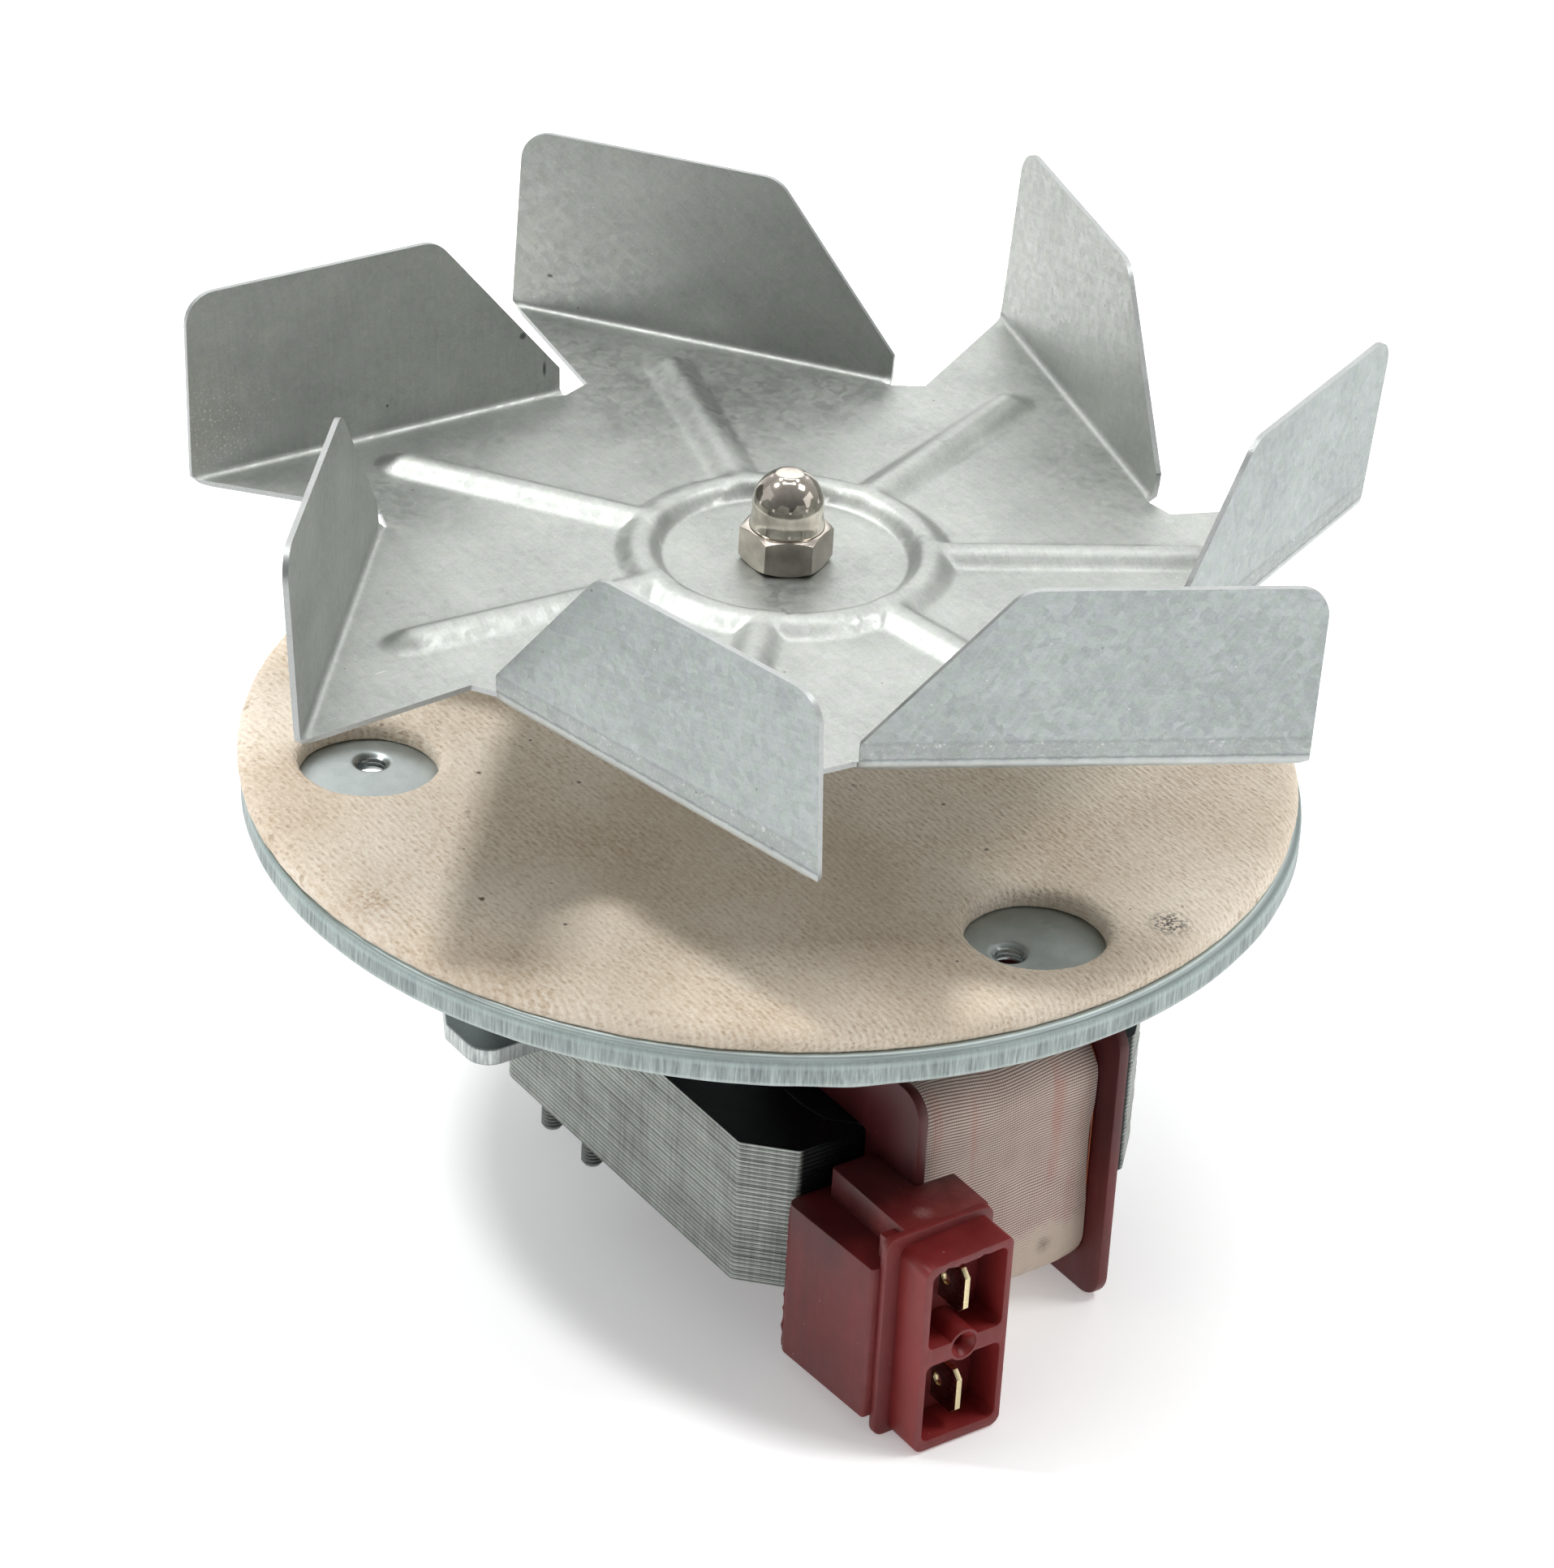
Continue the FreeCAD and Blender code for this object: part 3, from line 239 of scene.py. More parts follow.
        # Painted highlight: the rounded bend on the blades' outsides is lightened.
        bend = finish.spread(ragged, 0.0016, 0.0023, 1, 0)
        base = finish.stain(base, bend, 0.35, "#e2e4e1")
        height = finish.math("SUBTRACT", height, finish.math("MULTIPLY", line, 1.5))
    finish.set(Base_Color=base, Metallic=1.0,
               Roughness=finish.spread(finish.math("ADD", cloud, patch.outputs[2]), 0.4, 1.5,
                                       rough - 0.05, rough + 0.07),
               Normal=finish.bump(height, 0.02, 0.5, finish.bump(finish.noise(16, 1, 0.6), 0.2, 0.2)))
    return finish.material


def plain_metal(name, color, rough, grain_size=0.3, tooth=0.01, metallic=1.0):
    finish = Finish(name)
    cloud = finish.noise(6, 3, 0.6)
    grain = finish.noise(grain_size, 3, 0.6)
    dark = tuple(0.72 * c for c in srgb(color)[:3]) + (1.0,)
    base = finish.mix(finish.spread(finish.math("ADD", cloud, grain), 0.7, 1.3), dark, srgb(color))
    finish.set(Base_Color=base, Metallic=metallic,
               Roughness=finish.spread(cloud, 0.3, 0.7, rough - 0.06, rough + 0.08),
               Normal=finish.bump(grain, tooth, 0.6))
    return finish.material


# Mesh helpers
def new_piece(name, mesh, material, body, replaces=None, smooth=True):
    piece = bpy.data.objects.new(name, mesh)
    bpy.context.scene.collection.objects.link(piece)
    for one in material if isinstance(material, (list, tuple)) else [material]:
        mesh.materials.append(one)
    if smooth:
        for face in mesh.polygons:
            face.use_smooth = True
    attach(piece, body)
    if replaces:
        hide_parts(*([replaces] if isinstance(replaces, str) else replaces))
    return piece


def mesh_from(name, bm, scale=MM, sharp=35.0):
    bm.normal_update()
    if sharp:
        for edge in bm.edges:
            if len(edge.link_faces) == 2 and edge.calc_face_angle(0.0) > math.radians(sharp):
                edge.smooth = False
    mesh = bpy.data.meshes.new(name)
    bm.to_mesh(mesh)
    bm.free()
    mesh.transform(Matrix.Scale(scale, 4))
    mesh.update()
    return mesh


def smoothstep(low, high, value):
    t = min(1.0, max(0.0, (value - low) / (high - low)))
    return t * t * (3 - 2 * t)


def rounded(corners, steps=5):
    """Points of a closed outline; a corner (x, y, radius) becomes an arc."""
    points = []
    count = len(corners)
    for index in range(count):
        here = Vector(corners[index][:2])
        radius = corners[index][2] if len(corners[index]) > 2 else 0.0
        if radius <= 0:
            points.append(here)
            continue
        before = (Vector(corners[index - 1][:2]) - here).normalized()
        after = (Vector(corners[(index + 1) % count][:2]) - here).normalized()
        half = before.angle(after) / 2
        centre = here + (before + after).normalized() * (radius / math.sin(half))
        first = here + before * (radius / math.tan(half)) - centre
        last = here + after * (radius / math.tan(half)) - centre
        turn = first.angle_signed(last)
        for step in range(steps + 1):
            angle = -turn * step / steps
            points.append(centre + Vector((first.x * math.cos(angle) - first.y * math.sin(angle),
                                           first.x * math.sin(angle) + first.y * math.cos(angle))))
    return points


def lathe(bm, profile, steps=96, start=0.0, centre=(0, 0)):
    """Turns a profile of (radius, height) round the Z axis. Points on the axis close the surface."""
    rings = []
    for radius, height in profile:
        if radius < 1e-6:
            rings.append([bm.verts.new((centre[0], centre[1], height))])
            continue
        rings.append([bm.verts.new((centre[0] + radius * math.cos(start + 2 * math.pi * k / steps),
                                    centre[1] + radius * math.sin(start + 2 * math.pi * k / steps), height))
                      for k in range(steps)])
    for low, high in zip(rings, rings[1:]):
        for k in range(steps):
            after = (k + 1) % steps
            if len(low) == 1 and len(high) == 1:
                continue
            if len(low) == 1:
                bm.faces.new((low[0], high[after], high[k]))
            elif len(high) == 1:
                bm.faces.new((low[k], low[after], high[0]))
            else:
                bm.faces.new((low[k], low[after], high[after], high[k]))
    return rings


def inside_polygon(point, polygon):
    result = False
    before = polygon[-1]
    for here in polygon:
        if (here[1] > point[1]) != (before[1] > point[1]):
            cross = (before[0] - here[0]) * (point[1] - here[1]) / (before[1] - here[1]) + here[0]
            if point[0] < cross:
                result = not result
        before = here
    return result


def triangulated(outline, extra, holes=()):
    """Triangles that fill an outline less its holes, through the extra points too."""
    points = [Vector(p) for p in outline]
    edges = [(k, (k + 1) % len(outline)) for k in range(len(outline))]
    for hole in holes:
        first = len(points)
        points += [Vector(p) for p in hole]
        edges += [(first + k, first + (k + 1) % len(hole)) for k in range(len(hole))]
    points += [Vector(p) for p in extra]
    spots, _, faces, _, _, _ = geometry.delaunay_2d_cdt(points, edges, [], 1, 1e-5)
    kept = []
    for face in faces:
        middle = sum((spots[k] for k in face), Vector((0, 0))) / len(face)
        if abs(geometry.area_tri(*[spots[k].to_3d() for k in face[:3]])) < 1e-4:
            continue
        if inside_polygon(middle, outline) and not any(inside_polygon(middle, hole) for hole in holes):
            kept.append(face)
    return spots, kept


def circle(radius, centre=(0, 0), steps=48, start=0.0):
    return [(centre[0] + radius * math.cos(start + 2 * math.pi * k / steps),
             centre[1] + radius * math.sin(start + 2 * math.pi * k / steps)) for k in range(steps)]


# Camera, floor and light
def make_stage():
    tilt, roll = CAMERA_TILT, CAMERA_ROLL
    spin = Matrix.Rotation(ROW_TURN, 3, "Z")
    right = spin @ Vector((1, 0, 0))
    ahead = spin @ Vector((0, math.cos(tilt), -math.sin(tilt)))
    down = spin @ Vector((0, -math.sin(tilt), -math.cos(tilt)))
    across = right * math.cos(roll) + down * math.sin(roll)
    below = -right * math.sin(roll) + down * math.cos(roll)
    place = spin @ CAMERA_PLACE + Vector((0, 0, WHEEL))
    data = bpy.data.cameras.new("camera")
    data.sensor_width = SENSOR
    data.sensor_fit = "AUTO"
    data.lens = FOCAL_PIXELS / LONG_SIDE_PIXELS * SENSOR
    data.clip_end = 20
    camera = bpy.data.objects.new("camera", data)
    axes = Matrix((across, -below, -ahead)).transposed().to_4x4()
    axes.translation = place * MM
    camera.matrix_world = axes
    bpy.context.scene.collection.objects.link(camera)
    bpy.context.scene.camera = camera

    bm = bmesh.new()
    # The floor runs back and curves up into the backdrop.
    sweep = [(-1.6, 0)] + [(1.4 + 0.6 * math.sin(a), 0.6 - 0.6 * math.cos(a))
                           for a in [math.pi / 2 * k / 12 for k in range(13)]] + [(2.0, 2.4)]
    back = spin @ Vector((0, 1, 0))
    side = spin @ Vector((1, 0, 0))
    rows = []
    for run, rise in sweep:
        rows.append([bm.verts.new(back * run + side * width + Vector((0, 0, FLOOR * MM + rise)))
                     for width in (-2.6, 2.6)])
    for one, two in zip(rows, rows[1:]):
        bm.faces.new((one[0], one[1], two[1], two[0]))
    bmesh.ops.recalc_face_normals(bm, faces=bm.faces[:])
    mesh = mesh_from("floor", bm, 1.0, 0)
    floor = bpy.data.objects.new("floor", mesh)
    bpy.context.scene.collection.objects.link(floor)
    paper = Finish("studio_paper")
    paper.set(Base_Color=paper.mix(paper.noise(60, 0), srgb("#f6f6f6"), srgb("#f8f8f8")), Roughness=0.9)
    paper.shader.inputs["Specular IOR Level"].default_value = 0.1
    paper.shader.inputs["Emission Color"].default_value = (1, 1, 1, 1)
    paper.shader.inputs["Emission Strength"].default_value = 0.28
    mesh.materials.append(paper.material)
    for face in mesh.polygons:
        face.use_smooth = True

    world = bpy.data.worlds.new("studio")
    world.use_nodes = True
    back = world.node_tree.nodes["Background"]
    way = world.node_tree.nodes.new("ShaderNodeTexCoord")
    dot = world.node_tree.nodes.new("ShaderNodeVectorMath")
    dot.operation = "DOT_PRODUCT"
    dot.inputs[1].default_value = spin @ Vector((-0.12, 0.95, 0.3))
    glow = world.node_tree.nodes.new("ShaderNodeMapRange")
    for key, value in (("From Min", -0.9), ("From Max", 0.7), ("To Min", 0.15), ("To Max", 0.6)):
        glow.inputs[key].default_value = value
    world.node_tree.links.new(way.outputs["Generated"], dot.inputs[0])
    world.node_tree.links.new(dot.outputs["Value"], glow.inputs["Value"])
    world.node_tree.links.new(glow.outputs[0], back.inputs["Strength"])
    back.inputs["Color"].default_value = (1, 1, 1, 1)
    bpy.context.scene.world = world
    lights = (("key", (-0.80, 0.10, 1.25), (0, 0, 0), 0.18, 0.18, 11.5),
              ("second_key", (0.85, 0.05, 1.25), (0, 0, 0), 0.4, 0.4, 6.6),
              ("top_softbox", (0.0, 0.30, 1.45), (0, 0, 0), 0.9, 0.6, 5.5),
              ("back_softbox", (0.0, 1.7, 1.25), (0, 0, 0.03), 2.6, 1.3, 13.0),
              ("left_wall", (-1.5, -0.1, 0.55), (0, 0, 0.0), 1.3, 1.1, 1.5),
              ("right_wall", (1.5, -0.3, 0.5), (0, 0, 0), 1.1, 0.9, 3.2))
    for name, spot, target, width, height, power in lights:
        lamp = bpy.data.lights.new(name, "AREA")
        lamp.shape = "RECTANGLE"
        lamp.size = width
        lamp.size_y = height
        lamp.energy = power
        light = bpy.data.objects.new(name, lamp)
        light.location = spin @ Vector(spot)
        aim = (spin @ Vector(target)) - light.location
        light.rotation_euler = aim.to_track_quat("-Z", "Y").to_euler()
        bpy.context.scene.collection.objects.link(light)
    bpy.context.scene.view_settings.view_transform = "Standard"


# Fan wheel
def disc_height(x, y):
    """Height of the pressed hub, bead and ribs above the flat disc, for a blade whose tip is on the X axis."""
    def hump(away, reach):
        return 0.5 + 0.5 * math.cos(math.pi * min(1.0, away / reach))

    radius = math.hypot(x, y)
    inner = smoothstep(14.9, 17.3, radius)
    ring = 2.1 * inner - 0.3 if radius < 17.5 else 1.8 * (1 - smoothstep(17.8, 21.4, radius))
    ribs = 0.0
    for angle in (RIB_LAG, RIB_LAG + 2 * math.pi / BLADES):
        along = x * math.cos(angle) + y * math.sin(angle)
        aside = -x * math.sin(angle) + y * math.cos(angle)
        away = math.hypot(max(17.7 - along, (along - 50.4) * 0.72, 0.0), aside)
        ribs += (1.8 * hump(away, 3.6)) ** 4
    if radius < 17.5:
        ribs *= smoothstep(16.0, 17.5, radius)
        if ring <= 0:
            return ring + ribs ** 0.25 * inner
    both = (max(ring, 0.0) ** 4 + ribs) ** 0.25
    return both / (1 + (both / 2.0) ** 8) ** 0.125 * 1.03


def make_wheel():
    along = Vector((-math.cos(FOLD_ANGLE), -math.sin(FOLD_ANGLE)))
    outward = Vector((math.sin(FOLD_ANGLE), -math.cos(FOLD_ANGLE)))
    tip = Vector((TIP_RADIUS, 0))
    setback = (BEND + SHEET / 2) * math.tan((math.pi / 2 - LEAN) / 2)
    arc = BEND * (math.pi / 2 - LEAN)
    pitch = 2 * math.pi / BLADES

    def blank(s, u):
        point = tip + along * s + outward * (u - setback)
        return (point.x, point.y)

    top = arc + 25.1 - setback
    notch = Vector(blank(NOTCH_RUN, setback))
    start = Matrix.Rotation(pitch, 2) @ notch
    bore = 3.1
    first = math.atan2(start.y, start.x)
    last = first - pitch
    blade_edge = rounded([(0, setback), (0, top, 3.9), (35.2, top, 4.2), (52.7, arc + 4.1 - setback, 0.5),
                          (52.7, -0.1, 0.15), (53.1, -0.1, 0.15), (NOTCH_RUN, setback)], 7)[1:-1]
    outline = [(start.x, start.y)]
    steps = 18
    for k in range(1, steps + 1):
        point = start.lerp(tip, k / steps)
        outline.append((point.x, point.y))
    corners = [(0, setback)] + [(p.x, p.y) for p in blade_edge] + [(NOTCH_RUN, setback)]
    for one, two in zip(corners, corners[1:]):
        run = max(1, int(math.hypot(two[0] - one[0], two[1] - one[1]) / 1.3))
        for k in range(1, run + 1):
            outline.append(blank(one[0] + (two[0] - one[0]) * k / run, one[1] + (two[1] - one[1]) * k / run))
    radii = [50.45 - (50.45 - 22.0) * k / 24 for k in range(1, 25)] + [22.0 - 0.42 * k for k in range(1, 20)]
    radii += [13.2, 12, 10.5, 9, 7.5, 6, 4.5]
    for radius in radii:
        outline.append((radius * math.cos(last), radius * math.sin(last)))
    for k in range(9):
        angle = last + pitch * k / 8
        outline.append((bore * math.cos(angle), bore * math.sin(angle)))
    for radius in reversed(radii):
        outline.append((radius * math.cos(first), radius * math.sin(first)))

    extra = []
    fine = [14.1 + 0.36 * k for k in range(22)]
    for radius in fine + [13.0, 11.0, 9.0, 7.0, 5.0]:
        count = max(5, int(radius * pitch / (0.75 if radius > 14 else 1.6)))
        for k in range(1, count):
            angle = last + pitch * (k + 0.0) / count
            extra.append((radius * math.cos(angle), radius * math.sin(angle)))
    rib_angle = RIB_LAG
    for i in range(60):
        for j in range(15):
            a = 22.3 + 0.6 * i
            b = (j - 7) * 0.52
            extra.append((a * math.cos(rib_angle) - b * math.sin(rib_angle),
                          a * math.sin(rib_angle) + b * math.cos(rib_angle)))
    for i in range(64):
        for j in range(64):
            x = 8 + i * 1.35 + (j % 2) * 0.67
            y = -52 + j * 1.2
            radius = math.hypot(x, y)
            aside = abs(-x * math.sin(rib_angle) + y * math.cos(rib_angle))
            spot = Vector((x, y)) - tip
            if radius < 22.6 or (aside < 4.1 and radius < 58.5) or spot.dot(outward) > -setback - 0.7:
                continue
            extra.append((x, y))
    for i in range(1, 43):
        s = i * FOLD_LENGTH / 43
        for u in [-0.35, 0.0] + [arc * k / 6 for k in range(1, 7)] + [arc + 0.4 + 0.55 * k for k in range(6)]:
            extra.append(blank(s, u))
        for k in range(1, 16):
            extra.append(blank(s + (k % 2) * 0.6, arc + 3.2 + k * 1.35))
    extra = [p for p in extra if inside_polygon(p, outline)]
    edge_cells = {(round(p[0] / 0.42), round(p[1] / 0.42)) for p in outline}
    extra = [p for p in extra if not any((round(p[0] / 0.42) + i, round(p[1] / 0.42) + j) in edge_cells
                                         for i in (-1, 0, 1) for j in (-1, 0, 1))]
    spots, faces = triangulated(outline, extra)

    bm = bmesh.new()
    layer = bm.loops.layers.uv.new("blank")
    fold_layer = bm.loops.layers.uv.new("fold")
    places = {}
    for sector in range(BLADES):
        turn = Matrix.Rotation(math.radians(FIRST_TIP) - pitch * sector, 3, "Z")
        wobble = 0.012 * math.sin(sector * 2.1)
        made = []
        for p in spots:
            away = (p - tip).dot(outward) + setback
            s = (p - tip).dot(along)
            if away > 0 and -0.05 <= s <= FOLD_LENGTH + 0.02:
                base = tip + along * s - outward * setback
                lean = LEAN + wobble
                angle = min(away / BEND, math.pi / 2 - lean)
                over = max(0.0, away - BEND * (math.pi / 2 - lean))
                out = BEND * math.sin(angle) + over * math.cos(angle)
                rise = BEND * (1 - math.cos(angle)) + over * math.sin(angle)
                place = Vector((base.x + outward.x * out, base.y + outward.y * out, rise))
            else:
                place = Vector((p.x, p.y, disc_height(p.x, p.y)))
            place.z += WHEEL + SHEET / 2
            place = turn @ place
            vert = bm.verts.new(place)
            flat = turn @ Vector((p.x, p.y, 0))
            run = (s * MM, away * MM) if away > -2 and s > -1 else (0.0, -0.01)
            places[vert] = ((flat.x * MM + 0.1, flat.y * MM + 0.1), run)
            made.append(vert)
        for face in faces:
            new = bm.faces.new([made[k] for k in face])
            for loop in new.loops:
                loop[layer].uv, loop[fold_layer].uv = places[loop.vert]
    bmesh.ops.remove_doubles(bm, verts=bm.verts[:], dist=0.004)
    bmesh.ops.recalc_face_normals(bm, faces=bm.faces[:])
    bm.normal_update()
    if sum(face.normal.z * face.calc_area() for face in bm.faces) < 0:
        bmesh.ops.reverse_faces(bm, faces=bm.faces[:])
        bm.normal_update()
    middle = list(bm.verts)
    normals = {v: v.normal.copy() for v in middle}
    copies = {}
    for v in middle:
        copies[v] = bm.verts.new(v.co - normals[v] * SHEET / 2)
    rim = [e for e in bm.edges if len(e.link_faces) == 1]
    rim_loops = [(e, e.link_loops[0]) for e in rim]
    tops = list(bm.faces)
    for face in tops:
        under = bm.faces.new([copies[v] for v in reversed(face.verts)])
        under.material_index = 2
        for loop, source in zip(under.loops, reversed(face.loops)):
            loop[layer].uv = source[layer].uv
            loop[fold_layer].uv = source[fold_layer].uv
    for v in middle:
        v.co = v.co + normals[v] * SHEET / 2
    for edge, loop in rim_loops:
        a, b = loop.vert, loop.link_loop_next.vert
        side = bm.faces.new((b, a, copies[a], copies[b]))
        for corner in side.loops:
            source = a if corner.vert in (a, copies[a]) else b
            corner[layer].uv = loop[layer].uv if source is a else loop.link_loop_next[layer].uv
        side.material_index = 1
    mesh = mesh_from("fan_wheel_sheet", bm, MM, 50)
    tops = coated_sheet("aluminised_wheel", "#9da09c", "#bfc2bc", 0.48, "UV")
    outsides = coated_sheet("aluminised_outside", "#969b99", "#b4bab7", 0.5, "UV", True)
    edge = plain_metal("sheared_edge", "#b2b5b4", 0.42, 0.2, 0.03)
    return new_piece("fan_wheel_sheet", mesh, [tops, edge, outsides], "rotor", "fan_wheel")


# Pad and mounting plate
BOSSES = [math.radians(30 + 120 * k) for k in range(3)]


def at(radius, angle, centre=(0.0, 0.0)):
    return (centre[0] + radius * math.cos(angle), centre[1] + radius * math.sin(angle))


def filled_disc(bm, loops, height, spacing, flip=False):
    """A surface between an outer loop of vertices and hole loops, with a grid of points inside."""
    outer = [(v.co.x, v.co.y) for v in loops[0]]
    holes = [[(v.co.x, v.co.y) for v in loop] for loop in loops[1:]]
    low = min(p[0] for p in outer)
    high = max(p[0] for p in outer)
    count = int((high - low) / spacing) + 1
    loose = [(low + (i + 0.5 * (j % 2)) * spacing, low + j * spacing * 0.87)
             for i in range(count) for j in range(int(count / 0.87) + 1)]
    near = {(round(p[0] / spacing), round(p[1] / spacing)) for loop in [outer] + holes for p in loop}
    extra = [p for p in loose if inside_polygon(p, outer) and not any(inside_polygon(p, h) for h in holes)
             and (round(p[0] / spacing), round(p[1] / spacing)) not in near]
    spots, faces = triangulated(outer, extra, holes)
    known = [v for loop in loops for v in loop]
    verts = []
    for index, spot in enumerate(spots):
        if index < len(known) and (Vector(known[index].co[:2]) - spot).length < 1e-3:
            verts.append(known[index])
        else:
            verts.append(bm.verts.new((spot.x, spot.y, height(spot.x, spot.y))))
    for face in faces:
        corners = [verts[k] for k in face]
        bm.faces.new(corners[::-1] if flip else corners)


def bridged(bm, one, two):
    count = len(one)
    for k in range(count):
        bm.faces.new((one[k], one[(k + 1) % count], two[(k + 1) % count], two[k]))


def make_pad():
    centre = (0.2, 1.3)
    bm = bmesh.new()

    def rough(x, y, amount):
        return amount * noise.noise(Vector((x * 0.35, y * 0.35, 1.7))) + 0.6 * amount * noise.noise(
            Vector((x * 1.3, y * 1.3, 4.2)))

    def ring(middle, radius, level, amount, steps):
        loop = []
        for k in range(steps):
            angle = 2 * math.pi * k / steps
            x, y = at(radius, angle, middle)
            push = rough(x, y, amount)
            x, y = at(radius + push, angle, middle)
            loop.append(bm.verts.new((x, y, level + rough(y, x, amount * 0.6) if 0.1 < level else level)))
        return loop

    edge = [(65.9, 0.02), (66.15, 0.4), (66.2, 1.15), (66.0, 1.8), (65.5, 2.35), (64.6, 2.72), (63.3, 2.93),
            (61.6, 3.0)]
    outer = [ring(centre, radius, level, 0.10, 360) for radius, level in edge]
    for one, two in zip(outer, outer[1:]):
        bridged(bm, one, two)
    tops = [outer[-1]]
    bottoms = [outer[0]]
    for angle in BOSSES:
        middle = at(50.5, angle + math.radians(3.9))
        rings = [ring(middle, radius, level, 0.09, 144)
                 for radius, level in ((9.1, 0.02), (8.72, 0.12), (8.6, 0.32), (8.62, 1.2), (8.7, 1.9), (8.95, 2.45),
                                       (9.5, 2.82), (10.4, 2.98))]
        for one, two in zip(rings, rings[1:]):
            bridged(bm, two, one)
        tops.append(rings[-1])
        bottoms.append(rings[0])
    rings = [ring((0, 0), radius, level, 0.04, 64) for radius, level in ((9.0, 0.02), (9.0, 2.7), (9.3, 3.0))]
    for one, two in zip(rings, rings[1:]):
        bridged(bm, two, one)
    tops.append(rings[-1])
    bottoms.append(rings[0])
    filled_disc(bm, tops, lambda x, y: 3.0 + rough(y, x, 0.07), 1.4)
    filled_disc(bm, bottoms, lambda x, y: 0.02, 6.0, True)
    mesh = mesh_from("insulation_pad", bm, MM, 0)
    return new_piece("fibre_pad", mesh, fibre_felt(), "motor", "insulation_pad")


# Pressed ceramic fibre: warm cream, matte, with the slanting dashes of the felting cloth under a millimetre apart,
# brown shot specks, worn pits near the rim and one grey thumb mark.
def fibre_felt():
    finish = Finish("pressed_fibre")
    soft = finish.noise(22, 1, 0.6)
    fuzz = finish.noise(0.4, 3, 0.75)

    along = finish.cells(0.55, vector=finish.turned(84, 0.45, 1.0))
    ribs = finish.waves(0.85, "X", 2.5, finish.turned(3, 1.0, 1.0), 2.0)
    brushed = finish.noise(0.45, 3, 0.6, finish.turned(80, 0.3, 1.0), 0.3)
    cloth = finish.math("ADD", finish.math("MULTIPLY", finish.spread(along, 0.14, 0.46), 0.4),
                        finish.math("MULTIPLY", ribs, 0.25))
    cloth = finish.math("ADD", cloth, finish.spread(brushed, 0.34, 0.66, 0, 0.35))
    worn = finish.spread(finish.noise(14, 1, 0.6), 0.36, 0.6, 0.5, 1.0)
    pits = finish.cells(2.4)
    pit_mask = finish.spread(finish.noise(9, 1, 0.6), 0.52, 0.66)
    x, y = finish.axis(0), finish.axis(1)
    radius = finish.math("SQRT", finish.math("ADD", finish.math("MULTIPLY", x, x), finish.math("MULTIPLY", y, y)))
    rim = finish.spread(radius, 0.0600, 0.0650)
    pit = finish.math("MULTIPLY", finish.spread(pits, 0.10, 0.26, 1, 0),
                      finish.math("MULTIPLY", pit_mask, finish.spread(rim, 0, 1, 0.25, 1)))
    tone = finish.math("ADD", finish.spread(soft, 0.3, 0.7, 0.4, 0.85),
                       finish.math("MULTIPLY", finish.spread(cloth, 0.2, 0.9, -0.48, 0.22), worn))
    tone = finish.math("ADD", tone, finish.spread(fuzz, 0.3, 0.7, -0.22, 0.2))
    base = finish.mix(tone, srgb("#c3ad92"), srgb("#f0e5d5"))
    base = finish.stain(base, pit, 0.55, "#a58d6c")
    crumb = finish.math("MULTIPLY", finish.near((-62.3, -6.2, 3.0), 1.0, 3.6), finish.spread(
        finish.noise(0.9, 3, 0.7), 0.5, 0.6))
    base = finish.stain(base, crumb, 0.6, "#a8815c")
    dots = finish.near((-45.1, -22.4, 3.0), 0.18, 0.34)
    for spot, size in (((-26.1, 15.5, 3.0), 0.3), ((-35.8, 12.0, 3.0), 0.42), ((-26.3, 4.0, 3.0), 0.38),
                       ((9.9, -22.4, 3.0), 0.36), ((8.3, -33.6, 3.0), 0.42), ((-9.4, -52.1, 3.0), 0.25)):
        dots = finish.math("MAXIMUM", dots, finish.near(spot, size * 0.4, size))
    base = finish.stain(base, dots, 0.8, "#4a3a2a")
    ragged = finish.add("ShaderNodeVectorMath", {0: finish.place, 1: finish.add("ShaderNodeVectorMath", {
        0: finish.add("ShaderNodeTexNoise", {"Vector": finish.place, "Scale": 1 / (0.5 * MM),
                                             "Detail": 0.0}).outputs["Color"],
        1: (0.0005, 0.0005, 0.0005)}, operation="MULTIPLY").outputs[0]}, operation="ADD").outputs[0]
    for size, reach, where, strength in ((5.2, 0.05, 4.0, 0.75), (8.5, 0.055, 11.0, 0.9)):
        speck = finish.spread(finish.cells(size, vector=ragged), reach * 0.6, reach, 1, 0)
        speck = finish.math("MULTIPLY", speck, finish.spread(finish.noise(where, 0), 0.48, 0.58))
        base = finish.mix(finish.math("MULTIPLY", speck, strength), base, srgb("#6a5238"))
    spot = finish.add("ShaderNodeVectorMath", {0: finish.place, 1: (0.0176, -0.0580, 0.003)},
                      operation="DISTANCE").outputs["Value"]
    stain = finish.math("MULTIPLY", finish.spread(spot, 0.0010, 0.0032, 1, 0),
                        finish.spread(finish.noise(0.6, 3, 0.75), 0.47, 0.54))
    base = finish.stain(base, stain, 0.9, "#45403f")
    height = finish.math("ADD", cloth, finish.math("MULTIPLY", fuzz, 0.7))
    height = finish.math("SUBTRACT", height, finish.math("MULTIPLY", pit, 1.4))
    finish.set(Base_Color=base, Roughness=0.95, Normal=finish.bump(height, 0.2, 0.9))
    finish.shader.inputs["Specular IOR Level"].default_value = 0.15
    finish.shader.inputs["Sheen Weight"].default_value = 0.12
    return finish.material


